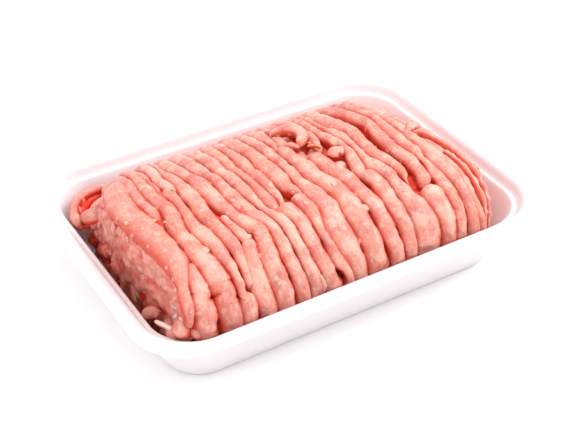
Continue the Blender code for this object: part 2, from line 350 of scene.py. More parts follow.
@dataclass(frozen=True)
class MeatFinish:
    """Raw minced pork, pushed through a plate: moist lean meat smeared with its own pale fat.

    A painted red shade darkens each strand's flanks towards the furrows between them, by the attribute side. The plate
    draws the fibres out along each strand.
    """

    name: str
    crown: str = "D68474"
    pale: str = "E7AC9C"
    # furrow: the painted red shade that flanks, hollows and pits turn to; the fibres and speckles also use it for dark
    # marks.
    furrow: str = "C8452F"
    fat: str = "E6AE9E"
    roughness: float = 0.4
    fat_share: float = 0.7
    fat_grain_mm: float = 2.6
    dull: str = "BC6A62"
    scatter_mm: float = 1.6

    def make(self) -> bpy.types.Material:
        """Builds the material from mottling, fat grains, drawn fibres and a painted red shade towards the furrows."""
        material = bpy.data.materials.new(self.name)
        material.use_nodes = True
        tree = material.node_tree
        shader = tree.nodes["Principled BSDF"]

        def blend(share: bpy.types.NodeSocket, first: object, second: object) -> bpy.types.NodeSocket:
            """Mixes two colours by a share."""
            return add_node(tree, "ShaderNodeMix", {"data_type": "RGBA"}, Factor=share, i6=first, i7=second).outputs[2]

        def ramp(value: bpy.types.NodeSocket, low: float, high: float, top: float = 1.0) -> bpy.types.NodeSocket:
            """Maps a value between two limits smoothly to the range from nothing to a top value."""
            return add_node(tree, "ShaderNodeMapRange", {"interpolation_type": "SMOOTHSTEP"}, Value=value, From_Min=low, From_Max=high, To_Max=top).outputs["Result"]

        place = add_node(tree, "ShaderNodeTexCoord").outputs["Object"]
        drawn = add_node(tree, "ShaderNodeAttribute", {"attribute_name": "drawn"}).outputs["Vector"]
        side = add_node(tree, "ShaderNodeAttribute", {"attribute_name": "side"}).outputs["Fac"]
        tone = add_node(tree, "ShaderNodeAttribute", {"attribute_name": "tone"}).outputs["Fac"]
        patches = add_node(tree, "ShaderNodeTexNoise", Vector=place, Scale=1 / (7 * MM), Detail=3.0, Roughness=0.65).outputs["Fac"]
        fatty = add_node(tree, "ShaderNodeMath", {"operation": "ADD"}, i0=ramp(patches, 0.42, 0.6, 0.75), i1=tone)
        fatty = add_node(tree, "ShaderNodeMath", {"operation": "SUBTRACT", "use_clamp": True}, i0=fatty.outputs[0], i1=0.35).outputs[0]
        lean = blend(fatty, linear(self.crown), linear(self.pale))
        veins = add_node(tree, "ShaderNodeTexNoise", Vector=place, Scale=1 / (13 * MM), Detail=4.0, Roughness=0.7).outputs["Fac"]
        lean = blend(ramp(veins, 0.5, 0.62, 0.65), lean, linear(self.dull))
        fibres = add_node(tree, "ShaderNodeTexNoise", Vector=drawn, Scale=1.0, Detail=3.0, Roughness=0.7).outputs["Fac"]
        lean = blend(ramp(fibres, 0.53, 0.72, 0.6), lean, linear(self.fat))
        lean = blend(ramp(fibres, 0.45, 0.28, 0.45), lean, linear(self.furrow))
        speckle = add_node(tree, "ShaderNodeTexNoise", Vector=place, Scale=1 / (0.75 * MM), Detail=2.0, Roughness=0.7).outputs["Fac"]
        lean = blend(ramp(speckle, 0.54, 0.70, 0.34), lean, linear(self.fat))
        lean = blend(ramp(speckle, 0.45, 0.30, 0.34), lean, linear(self.furrow))
        # Painted shade: the flanks turn to the furrow colour by how far down the strand's side a point lies.
        red = blend(ramp(side, 0.1, 0.8), lean, linear(self.furrow))
        warp = add_node(tree, "ShaderNodeTexNoise", Vector=place, Scale=1 / (2.5 * MM), Detail=1.0).outputs["Color"]
        bent = add_node(tree, "ShaderNodeVectorMath", {"operation": "MULTIPLY_ADD"}, i0=warp, i1=(1.6 * MM,) * 3, i2=place).outputs[0]
        grains = add_node(tree, "ShaderNodeTexVoronoi", {"feature": "F1"}, Vector=bent, Scale=1 / (self.fat_grain_mm * MM), Randomness=1.0)
        chance = add_node(tree, "ShaderNodeSeparateColor", Color=grains.outputs["Color"]).outputs["Red"]
        grain = add_node(tree, "ShaderNodeMath", {"operation": "MULTIPLY"}, i0=ramp(grains.outputs["Distance"], 0.46, 0.2, self.fat_share), i1=ramp(chance, 0.78, 0.94)).outputs[0]
        tree.links.new(blend(grain, red, linear(self.fat)), shader.inputs["Base Color"])
        shader.inputs["Roughness"].default_value = self.roughness
        shader.inputs["IOR"].default_value = 1.4
        shader.inputs["Subsurface Weight"].default_value = 1.0
        shader.subsurface_method = "BURLEY"
        shader.inputs["Subsurface Radius"].default_value = (1.0, 0.2, 0.1)
        shader.inputs["Subsurface Scale"].default_value = self.scatter_mm * MM
        bump = add_node(tree, "ShaderNodeBump", Strength=0.6, Distance=0.4 * MM, Height=fibres)
        fine = add_node(tree, "ShaderNodeTexNoise", Vector=place, Scale=1 / (0.8 * MM), Detail=3.0, Roughness=0.6).outputs["Fac"]
        bump = add_node(tree, "ShaderNodeBump", Strength=0.35, Distance=0.2 * MM, Height=fine, Normal=bump.outputs["Normal"])
        tree.links.new(bump.outputs["Normal"], shader.inputs["Normal"])
        return material


LEAN_STRANDS = MeatFinish("raw_mince_strands")
# Painted glow: an intense red for the meat in the shaded corner hollow and the slit at the front left, standing in for
# light scattered red in the shade.
HOLLOW_PAINTED_GLOW = MeatFinish("lean_hollow_painted_glow", crown="F03C1A", pale="F0583A", furrow="D81C08", dull="DC2A12", fat_share=0.1, roughness=0.25)
# Painted glow: an over-bright red for the core, seen only in the shaded furrow bottoms, stands in for light scattered
# red there.
CORE_PAINTED_GLOW = MeatFinish("raw_mince_core_painted_glow", crown="F04A30", pale="F05E46", furrow="F03C22", dull="E8442C", fat_share=0.25)
SHEARED = MeatFinish("raw_mince_sheared", crown="D67E70", pale="DEA498", furrow="E0442E", dull="C87066", fat_share=0.5, fat_grain_mm=3.4, roughness=0.34, scatter_mm=1.4)
# Painted glow: a brighter, more saturated red for crumbs in the shaded foot of the cut end, standing in for red light
# scattered there.
LOW_PAINTED_GLOW = MeatFinish("raw_mince_low_painted_glow", crown="EE7864", pale="F09E8C", furrow="F2402A", dull="E46250", fat_share=0.3, roughness=0.3)
FAT = MeatFinish("pork_back_fat", crown="E0A08E", pale="E4AC9C", furrow="DC9482", dull="DE9C8A", fat_share=0.0, scatter_mm=0.6, roughness=0.35)
# Pale fat, also used for the cut face's white needle-like glints, which it paints as pale flecks.
PALE_FAT_AND_GLINT = MeatFinish("pale_fat_and_painted_glint", crown="F2D0C4", pale="F6DCD2", furrow="ECBCAC", dull="ECC0B2", fat_share=0.0, scatter_mm=0.4, roughness=0.3)
SINEW = MeatFinish("wet_sinew", crown="E8875A", pale="F4B080", furrow="D8542A", dull="DC7044", fat_share=0.0, scatter_mm=0.8, roughness=0.25)


# ---------------------------------------------------------------------------------------------
# Tray
# ---------------------------------------------------------------------------------------------


@dataclass(frozen=True)
class FoamTray:
    """The pressed tray: tapered walls, a step under the rim and a shelf inside it. Sizes in mm."""

    length: float = 187.0
    depth: float = 137.0
    height: float = 30.7
    foam: float = 2.8
    corner: float = 23.3
    tightening: float = 0.44
    shelf_drop: float = 4.7
    shelf_inset: float = 8.4
    shelf_width: float = 1.9
    base_inset: float = 16.5
    base_edge: float = 2.4
    floor_edge: float = 3.6
    corner_steps: int = 20
    shoulder: Path = ((3.2, 0.0), (4.4, 0.15), (5.4, 0.5), (6.2, 1.1), (6.8, 1.9), (7.25, 2.8), (7.6, 3.8))
    finish: FoamFinish = field(default_factory=FoamFinish)

    def inner_inset(self, z: np.ndarray | float) -> np.ndarray:
        """Inset of the inner wall at a height, from the floor up past the shelf to the rim."""
        shelf = self.height - self.shelf_drop
        known = [(self.foam, self.base_inset + self.foam), (shelf, self.shelf_inset + self.shelf_width), (shelf + 0.01, self.shelf_inset)]
        known += [(self.height - drop, inset) for inset, drop in reversed(self.shoulder)]
        return np.interp(z, [height for height, _ in known], [inset for _, inset in known])

    def keep_inside(self, places: np.ndarray, gap: float) -> np.ndarray:
        """Moves places that lie outside the inner wall back in, level.

        Args:
            places: An array of places, three numbers each.
            gap: Least distance to the wall.

        Returns:
            The array with its x and y changed where needed.
        """
        inset = self.inner_inset(places[..., 2]) + gap
        radius = self.corner - self.tightening * inset
        flat = places[..., :2]
        room = np.stack([self.length / 2 - inset - radius, self.depth / 2 - inset - radius], -1)
        middle = np.clip(flat, -room, room)
        away = flat - middle
        length = np.linalg.norm(away, axis=-1, keepdims=True)
        away *= np.minimum(1.0, radius[..., None] / np.maximum(length, 1e-9))
        return np.concatenate([middle + away, places[..., 2:]], -1)

    def settle(self, obj: bpy.types.Object) -> None:
        """Brings the points of a piece that reach into the foam back inside the tray."""
        points = np.empty(len(obj.data.vertices) * 3)
        obj.data.vertices.foreach_get("co", points)
        points = self.keep_inside(points.reshape(-1, 3) / MM, 0.1)
        obj.data.vertices.foreach_set("co", points.ravel() * MM)
        obj.data.update()

    def wall(self) -> list[tuple[float, float]]:
        """The wall's outline as inset and height, from the underside up, over the rim and down to the floor."""
        lip = self.foam / 2
        shelf = self.height - self.shelf_drop
        low = shelf - 0.8 * self.foam
        top_inset = self.shelf_inset + self.shelf_width

        def turn(inset: float, z: float, radius: float, start: float, end: float, steps: int) -> list[tuple[float, float]]:
            """Points round part of a circle, between two angles in degrees."""
            angles = np.radians(np.linspace(start, end, steps + 1))
            return [(inset + radius * math.cos(a), z + radius * math.sin(a)) for a in angles]

        points = turn(self.base_inset + self.base_edge, self.base_edge, self.base_edge, 270, 190, 8)
        points += [(self.base_inset - 4.6, low / 2), (self.shelf_inset - 0.9, low), (self.shelf_inset - 2.0, low + 1.3)]
        points += [(4.5, self.height - self.foam - lip / 2), (lip * 2.4, self.height - self.foam)]
        points += turn(lip, self.height - lip, lip, 270, 90, 12)
        points += [(inset, self.height - drop) for inset, drop in self.shoulder]
        points += turn(self.shelf_inset + 0.2, shelf + 0.5, 0.5, 200, 270, 4)
        points += turn(top_inset - 0.8, shelf - 0.75, 0.75, 90, 20, 4)
        points += [(float(self.inner_inset(z)), z) for z in (shelf - 2.5, (shelf + self.foam) / 2)]
        foot = self.foam + self.floor_edge
        points += turn(float(self.inner_inset(foot)) + self.floor_edge, foot, self.floor_edge, 180, 265, 10)
        return points

    def ring(self, inset: float, z: float) -> list[tuple[float, float, float]]:
        """One level ring of points round the tray."""
        half_x, half_y = self.length / 2 - inset, self.depth / 2 - inset
        radius = self.corner - self.tightening * inset
        points = []
        for quarter, (sign_x, sign_y) in enumerate(((1, 1), (-1, 1), (-1, -1), (1, -1))):
            for step in range(self.corner_steps + 1):
                angle = math.radians(90 * (quarter + step / self.corner_steps))
                x = sign_x * (half_x - radius) + radius * math.cos(angle)
                points.append((x, sign_y * (half_y - radius) + radius * math.sin(angle), z))
        return points

    def build(self) -> bpy.types.Object:
        """Lofts the wall round the tray, closes it and dresses it."""
        rings = [self.ring(inset, z) for inset, z in self.wall()]
        count = len(rings[0])
        points = np.array([place for ring in rings for place in ring])
        faces = grid_faces(len(rings), count, True)
        faces.append(tuple(range(count)))
        faces.append(tuple(range((len(rings) - 1) * count, len(rings) * count)))
        obj = mesh_object("foam_tray", points, faces)
        # Painted reflection: the inner wall towards the loaf's right end, below the rim, gets the pink tint for light
        # bounced off the meat.
        inside = np.repeat(np.arange(len(rings)) > 24, count)
        near_end = smooth((points[:, 0] - 66) / 22) * smooth((self.height - 1.5 - points[:, 2]) / 8)
        spread_attribute(obj.data, "painted_meat_bounce", np.where(inside, 0.38 * near_end, 0.0))
        face_outwards(obj)
        obj.data.set_sharp_from_angle(angle=math.radians(60))
        obj.data.materials.append(self.finish.make())
        return finish_piece(obj, "foam", "tray")


TRAY = FoamTray()


# ---------------------------------------------------------------------------------------------
# The loaf's form
# ---------------------------------------------------------------------------------------------


@dataclass(frozen=True)
class LoafForm:
    """Outline of the loaf across its length, and how it changes towards its two ends, in mm."""

    crest_y: float = -22.0
    height: float = 51.0
    front: float = 58.4
    back: float = 54.5
    front_spring: float = 25.0
    back_spring: float = 15.0
    front_roundness: float = 2.6
    back_roundness: float = 2.05
    foot: float = 3.3
    fall_start: float = 52.0
    fall_height: float = 30.3
    right: float = 80.5
    clearance: float = 0.4
    draw_back: tuple[float, float, float] = (56.0, 29.0, 40.0)
    draw_in: tuple[float, float, float] = (-54.0, 20.0, 11.5)

    def outline(self) -> tuple[np.ndarray, np.ndarray, np.ndarray]:
        """Samples the full outline.

        Returns:
            The arc length s, y and z of its points, s being 0 on the front at the rim's shelf.
        """
        turn = np.radians(np.linspace(0, 90, 300))
        front_y = self.crest_y - (self.front + self.crest_y) * np.cos(turn) ** (2 / self.front_roundness)
        front_z = self.front_spring + (self.height - self.front_spring) * np.sin(turn) ** (2 / self.front_roundness)
        turn = turn[::-1][1:]
        back_y = self.crest_y + (self.back - self.crest_y) * np.cos(turn) ** (2 / self.back_roundness)
        back_z = self.back_spring + (self.height - self.back_spring) * np.sin(turn) ** (2 / self.back_roundness)
        y = np.concatenate([[-self.front, -self.front], front_y, back_y, [self.back]])
        z = np.concatenate([[self.foot, self.front_spring - 1], front_z, back_z, [self.foot]])
        s = np.concatenate([[0.0], np.cumsum(np.hypot(np.diff(y), np.diff(z)))])
        return s - s[1], y, z

    def place(self, x: np.ndarray, s: np.ndarray) -> np.ndarray:
        """Places on the loaf's outer form.

        Args:
            x: Places along the tray.
            s: Arc lengths over the loaf.

        Returns:
            An array of places, three numbers each.
        """
        along, outline_y, outline_z = self.outline()
        x, s = np.broadcast_arrays(np.asarray(x, float), np.asarray(s, float))
        y0 = np.interp(s, along, outline_y)
        z0 = np.interp(s, along, outline_z)
        start, stretch, amount = self.draw_back
        front = self.front - amount * smooth((x - start) / stretch)
        start, stretch, amount = self.draw_in
        back = self.back - amount * smooth((start - x) / stretch)
        fall = smooth((x - self.fall_start) / (self.right - self.fall_start))
        crest = self.height - (self.height - self.fall_height) * fall
        ahead = self.crest_y + (y0 - self.crest_y) * (front + self.crest_y) / (self.front + self.crest_y)
        behind = self.crest_y + (y0 - self.crest_y) * (back - self.crest_y) / (self.back - self.crest_y)
        y = np.where(y0 < self.crest_y, ahead, behind)
        z = self.foot + (z0 - self.foot) * (crest - self.foot) / (self.height - self.foot)
        return TRAY.keep_inside(np.stack([x, y, z], -1), self.clearance)

    def normal(self, x: np.ndarray, s: np.ndarray) -> np.ndarray:
        """Outward directions at places on the form."""
        reach = 1.5
        across = self.place(x + reach, s) - self.place(x - reach, s)
        along = self.place(x, s + reach) - self.place(x, s - reach)
        out = np.cross(across, along)
        return out / np.maximum(np.linalg.norm(out, axis=-1, keepdims=True), 1e-9)

    def end(self) -> float:
        """Arc length at the foot of the back."""
        return float(self.outline()[0][-1])


LOAF = LoafForm()


def rim_swell(s: np.ndarray | float) -> np.ndarray:
    """How far the crowns bulge where the meat leans on the rim, by arc length."""
    return 2.0 * np.exp(-((np.maximum(s - 4, 0) / 9) ** 2))


# ---------------------------------------------------------------------------------------------
# Furrows and strands
# ---------------------------------------------------------------------------------------------


@dataclass(frozen=True)
class Furrow:
    """The line where two strands meet, and the places where it opens.

    Attributes:
        path: Pairs of arc length and x.
        gaps: Where it opens: arc length, reach to each side and width.
    """

    path: Path
    gaps: tuple[tuple[float, float, float], ...] = ()

    def at(self, s: np.ndarray) -> np.ndarray:
        """The furrow's x at arc lengths, its bends eased over two or three millimetres."""
        grid = np.arange(-30, 170, 0.5)
        known = np.array(self.path, float)
        raw = np.interp(grid, known[:, 0], known[:, 1])
        kernel = np.exp(-(np.arange(-8, 9) ** 2) / (2 * 3.2**2))
        padded = np.pad(raw, 8, mode="edge")
        eased = np.convolve(padded, kernel / kernel.sum(), mode="valid")
        return np.interp(s, grid, eased)

    def opening(self, s: np.ndarray) -> np.ndarray:
        """Width of the furrow's gap at arc lengths."""
        width = np.zeros_like(np.asarray(s, float))
        for centre, reach, amount in self.gaps:
            width += amount * np.exp(-np.abs((s - centre) / reach) ** 2.4)
        return width


class End(Enum):
    """How a strand ends."""

    ROUND = "round"
    BURIED = "buried"
    TORN = "torn"


@dataclass(frozen=True)
class Strand:
    """One strand of meat over the loaf, between two furrows.

    Attributes:
        left: The furrow on its left.
        right: The furrow on its right.
        start: Arc length where it starts, at the front.
        stop: Arc length where it stops, at the back.
        first: How its start looks.
        last: How its stop looks.
        rise: How far its crown stands above the loaf's form, or below it if negative.
        tone: Paleness, from 0 for lean to 1 for fatty.
    """

    left: Furrow
    right: Furrow
    start: float = -14.0
    stop: float = 143.0
    first: End = End.BURIED
    last: End = End.BURIED
    rise: float = 0.0
    tone: float = 0.35

    def stations(self) -> np.ndarray:
        """Arc lengths of its cross-sections, closer together where a round end closes."""
        s = np.arange(self.start, self.stop + 0.5, 1.1)
        extra = np.array([0.12, 0.45])
        return np.unique(np.round(np.concatenate([s, self.start + extra, self.stop - extra, [self.stop]]), 3))

    def tall(self, half: np.ndarray | float) -> np.ndarray:
        """Half height of a strand of some half width."""
        return np.clip(0.6 * half + 1.6, 1.2, 4.5)

    def guide(self, press: float) -> dict[str, np.ndarray]:
        """Works out its centre line and sizes.

        Args:
            press: How much wider than the room between its furrows it is, as a factor.

        Returns:
            Arrays of the places, half widths, half heights, outward directions, arc lengths and tone.
        """
        s = self.stations()
        left = self.left.at(s) + self.left.opening(s) / 2
        right = self.right.at(s) - self.right.opening(s) / 2
        x = (left + right) / 2
        stretch = np.linalg.norm(LOAF.place(x + 0.5, s) - LOAF.place(x - 0.5, s), axis=-1)
        half = np.maximum((right - left) / 2 * press * np.minimum(stretch, 1.6), 0.7)
        tall = self.tall(half)
        shrink = np.ones_like(s)
        sink = np.zeros_like(s)
        for kind, distance in ((self.first, s - self.start), (self.last, self.stop - s)):
            length = float(np.median(half)) * {End.ROUND: 1.1, End.BURIED: 0.8, End.TORN: 0.45}[kind]
            near = np.clip(distance / length, 0.0, 1.0)
            shrink *= np.sqrt(np.maximum(1 - (1 - near) ** 2, 0.02))
            if kind is End.BURIED:
                sink += 3.5 * (1 - smooth(distance / 7.0))
            else:
                sink += 0.9 * (1 - near) ** 2
        out = LOAF.normal(x, s)
        crown = self.rise + rim_swell(s)
        centre = LOAF.place(x, s) - out * (tall - crown + sink)[:, None]
        return {"centre": centre, "half_width": half * shrink, "half_height": tall * shrink, "up": out, "along": s, "tone": np.full_like(s, self.tone)}


def shifted(furrow: Furrow, amount: float) -> Furrow:
    """A furrow beside another one, moved in x."""
    return Furrow(tuple((s, x + amount) for s, x in furrow.path), furrow.gaps)


def joined(lower: Path, upper: Furrow, above: float) -> Path:
    """A path that follows its own places and then those of another furrow above an arc length."""
    return lower + tuple(pair for pair in upper.path if pair[0] > above)


def forked(lower: Path, upper: Furrow, above: float) -> Furrow:
    """A furrow with no gaps that joins another one above an arc length."""
    return Furrow(joined(lower, upper, above))


C1 = Furrow(
    ((-14, -62.5), (3, -63), (18, -62.3), (30, -63.3), (35, -64), (45, -64.2), (58, -64.3), (65, -65), (73, -65.7),
     (80, -65.8), (88, -65), (94, -64), (100, -63), (104, -61.8), (110, -61), (120, -59.5), (143, -58)),
    ((4.5, 4.5, 2.6), (17.5, 2.2, 4.4)),
)
C0 = Furrow(joined(((-14, -72), (5, -72.2), (13, -72), (19.5, -70.8), (24, -70.2), (27, -69.4), (30, -68), (33, -66.2), (36, -64.4)), C1, 37))
EDGE = Furrow(
    ((-14, -74.5), (5, -75.5), (18, -75.5), (27, -74), (35, -73.2), (42, -73.6), (50, -74.6), (57, -75.2), (65, -75.8),
     (80, -76), (92, -75), (100, -73), (110, -70), (120, -67), (143, -63)),
)
C1B = Furrow(
    joined(((50, -64.3), (56, -64.2), (60, -62.2), (63, -60.9), (66, -60.4), (70, -60.6), (75, -61), (80, -61.3),
            (84, -60.8), (90, -60), (96, -58.5), (103, -57), (115, -55.5), (143, -54)), C1, 200),
)
L2 = Furrow(tuple(pair for pair in C1.path if pair[0] < 50) + C1B.path, C1.gaps)
C2 = Furrow(
    ((-14, -52.5), (10, -53), (18, -53.4), (22, -52.9), (25, -53.5), (28, -54.2), (33, -55.4), (40, -56.1), (47, -57.3), (52, -57.5), (57, -56), (62, -55),
     (68, -54.2), (75, -54.8), (79.5, -55.5), (84, -54.8), (90, -54.5), (97, -53.8), (104, -54), (115, -52.5), (143, -51)),
)
C2B = Furrow(((70, -50.5), (76, -51.6), (80, -52.3), (86, -53), (92, -52.6), (98, -51), (104, -49.8), (115, -48.5), (143, -47)))
C3 = Furrow(
    ((-14, -48.3), (3, -48.5), (15, -49.5), (27, -49.3), (42, -49.5), (52, -51), (57, -51.3), (68, -50), (73, -49.8),
     (78, -48.5), (84, -47.6), (90, -48.2), (94, -47.5), (100, -46), (106, -45), (115, -43.5), (143, -42)),
    ((15, 3, 1.0), (30, 13, 0.5), (49, 4, 0.6), (66, 6, 0.9)),
)
C3B = Furrow(((-14, -46.8), (3, -47), (10, -47.2), (14, -48.2), (20.5, -47.5), (25.5, -46.2), (31.7, -44.5), (34, -43), (36.5, -41.5), (40, -41)))
R4 = Furrow(
    ((-14, -38.5), (3, -38.5), (12, -39.7), (22, -40.2), (28, -40.5), (33, -42), (38, -43.5), (50, -44.3), (57, -43.7),
     (63, -42.7), (70, -42), (80, -42.3), (88, -42), (92, -42.5), (97, -44.3), (101, -44.6), (106, -43.2), (115, -41), (143, -39)),
    ((14, 11, 0.4), (97, 3, 1.2)),
)
L5 = Furrow(
    ((-14, -38.5), (3, -38.5), (12, -39.7), (22, -40.2), (28, -39.5), (31, -38), (35, -37), (38, -38), (42, -39.7),
     (50, -41), (54, -41.8), (58, -42.5), (63, -42.5), (70, -42), (80, -42.3), (88, -42), (92, -42.5), (97, -43.6),
     (101, -44.4), (106, -43.2), (115, -41), (143, -39)),
    ((38, 2.2, 1.8), (53, 3, 1.3)),
)
C6 = Furrow(
    ((-14, -30), (3, -30.3), (15, -31.3), (22, -32), (30, -31.3), (38, -30.3), (42, -32), (46, -34), (50, -35.3),
     (55, -36), (62, -35.8), (70, -34.8), (76, -34), (80, -34.5), (84, -36), (88, -36.8), (93, -36.3), (98, -35.8),
     (104, -35.5), (115, -34), (143, -32)),
    ((12, 14, 0.5),),
)
C7 = Furrow(
    ((-14, -23.5), (6, -24.2), (16, -25.4), (25, -26), (31, -25.8), (35, -25.5), (41, -26.5), (45, -27.8), (52, -28.7), (65, -29.3), (72, -29.2),
     (76, -29), (80, -30.2), (86, -29.5), (92, -29), (98, -29), (104, -28.5), (115, -27), (143, -25)),
    ((81, 4, 0.8),),
)
C8 = Furrow(
    ((-14, -18), (3, -18.3), (10, -18.5), (18, -20), (26, -20.8), (35, -20), (39, -20.5), (43, -23.8), (48, -25),
     (53, -24.8), (58, -24), (65, -23), (72, -22.9), (78, -23.8), (82, -24), (88, -23), (93, -22.3), (99, -21.8),
     (104, -21.5), (115, -20), (143, -18)),
)
R9 = Furrow(((-14, -8), (4, -9), (10, -11.5), (15, -13.5), (28, -14.3), (33, -13.8), (42, -13.7), (50, -15.5)), ((7, 4, 2.8), (25, 8, 0.4)))
C9 = Furrow(
    ((40, -20), (50, -19.3), (65, -19.6), (75, -19.8), (82, -19.3), (88, -18.3), (92, -17.5), (99, -16.5), (104, -16),
     (115, -15), (143, -13)),
)
C10 = Furrow(
    ((40, -17.2), (47, -17), (50, -16.3), (57, -14.7), (64, -14), (68, -13.7), (75, -14), (79, -13), (84, -12.3),
     (92, -12.3), (98, -12.8), (103, -12.5), (107, -11.5), (115, -10.5), (143, -8.5)),
    ((66, 8, 0.6), (77, 5, 1.0)),
)
L11 = Furrow(joined(((40, -9), (48, -9.4), (50, -10.8), (52, -12.6), (54, -13.7), (56, -14.6)), C10, 57))
C12 = Furrow(
    ((-14, -3.5), (3, -4.5), (10, -6.3), (17, -9), (25, -10.5), (30, -10), (34, -8), (38, -7.2), (42, -7.4), (46, -8.3),
     (50, -7.6), (54, -7.6), (58, -7.3), (63, -6.2), (70, -5.8), (78, -6.3), (85, -5.8), (91, -5), (98, -4.5),
     (103, -4), (115, -2.5), (143, -0.5)),
)
C13 = Furrow(
    ((-14, 2.5), (3, 2.3), (13, 1.6), (25, 0.6), (30, 0.1), (38, 1.7), (47, 0.8), (53, -0.8), (55.5, -2.3), (60, -1.9),
     (65, -1.3), (73, -1.0), (78, -0.7), (86, 0.5), (91, 0.5), (97, 0.8), (102, 0.9), (108, 1.5), (115, 2.5), (143, 4.5)),
    ((10, 12, 0.7), (66, 8, 0.9), (43, 6, 0.5)),
)
C13B = Furrow(((70, 0.5), (78, 0.8), (82, 1.5), (87, 3), (92, 4.5), (96, 5), (100, 7), (104, 8), (115, 9.5), (143, 11.5)))
C14 = Furrow(
    ((-14, 13), (3, 12.8), (15, 11.3), (23, 10.5), (27, 11.1), (40, 9.9), (50, 9.2), (57, 7), (65, 7.4), (70, 6.8),
     (75, 5.3), (80, 7), (84, 7.8), (90, 8.5), (97, 9.5), (101, 10), (105, 11), (115, 12.5), (143, 14.5)),
    ((8, 5, 1.4), (24, 7, 1.4)),
)
C14B = Furrow(((66, 12.6), (70, 12.8), (76, 13.5), (82, 14.6), (87, 14.8), (92, 14.0), (97, 14.5), (105, 16.5), (115, 18), (143, 20)))
C15 = Furrow(
    ((-14, 20), (3, 19.8), (15, 19), (27, 18.2), (38, 17.8), (47, 17), (51, 16.2), (55, 15.5), (60, 14.3), (65, 14), (72, 13.5)),
    ((14, 12, 0.7), (40.5, 5, 2.2)),
)
SLIT = Furrow(
    ((60, 13.5), (66, 14.4), (70, 15.5), (74, 17.0), (78, 18.6), (82, 19.8), (88, 20.3), (94, 21), (98, 21.8), (103, 22.5),
     (107, 22.8), (115, 24), (143, 26)),
)
L15 = Furrow(
    joined(((44, 16.5), (48, 16.8), (52, 17.2), (58, 19.3), (63, 21.3), (68, 22.4), (72, 22.0), (77, 21.0), (81, 20.4)), SLIT, 83),
)
C16 = Furrow(
    ((-14, 25), (3, 25.3), (15, 25.8), (30, 25), (38, 25.7), (44, 25.5), (48, 24.5), (50, 23), (54, 24), (58, 25),
     (64, 26.2), (70, 26.5), (76, 26), (82, 25.5), (88, 25.3), (95, 25.8), (103, 26.5), (115, 28), (143, 30)),
)
C17 = Furrow(
    ((28, 33.5), (33, 32.8), (36, 31.5), (42, 32), (48, 31.7), (52, 30), (55, 28.4), (60, 28.5), (66, 29), (74, 30.5),
     (80, 31.3), (83, 30), (86, 27.6), (89, 27.3), (95, 28), (100, 29), (105, 30), (115, 31.5), (143, 33.5)),
    ((88, 4.5, 1.3),),
)
R16 = Furrow(joined(((-14, 37), (3, 36.8), (7, 38), (13, 38), (15, 37.7), (24, 35.5)), C17, 27), C17.gaps)
C18 = Furrow(
    ((28, 34.0), (33, 34.9), (36.5, 35.9), (39, 37.2), (43, 37.8), (49, 37.0), (58, 36.3), (63, 36.6), (68, 37.2),
     (73, 38.3), (79, 39.8), (83, 40.0), (88, 39.3), (93, 38.9), (98, 38.8), (104, 38.6), (115, 39.3), (143, 41)),
    ((34.5, 5, 4.6), (47, 8, 2.2), (63, 8, 3.2), (77, 8, 3.4), (96, 13, 2.6)),
)
L18 = Furrow(joined(((-14, 37.3), (6, 37.8), (15, 38), (24, 35.8)), C18, 27))
C19 = Furrow(
    ((-14, 44.5), (3, 44.5), (13, 45.8), (23, 45.2), (29.5, 43.5), (33, 43), (40, 44.7), (52, 44.5), (57, 43.3),
     (64, 44.5), (70, 45), (77, 46.5), (82, 47.5), (88, 47.5), (95, 46.5), (103, 46.8), (115, 48), (143, 50)),
    ((31, 2.0, 1.4),),
)
C20 = Furrow(
    ((-14, 50), (3, 50.3), (14, 50.7), (25, 50.3), (35, 48.7), (42, 47.2), (45, 47.6), (48, 49.8), (52, 50.2),
     (60, 49.5), (68, 50.3), (75, 50.5), (82, 51), (88, 50.5), (95, 50.8), (100, 51), (107, 52), (115, 53), (143, 55)),
    ((5, 6, 0.6),),
)
C21 = Furrow(((-14, 56.5), (4, 56.7), (15, 55.6), (30, 55.8), (38, 54), (43, 52.8), (50, 51.5)), ((33, 3, 1.0),))
R21 = Furrow(joined(C21.path[:-2], C20, 44), C21.gaps)
C22 = Furrow(
    ((-14, 60.5), (20, 60), (40, 58.5), (50, 56), (60, 54.8), (75, 54.5), (82, 55), (90, 57), (100, 58.5), (115, 60), (143, 62)),
)

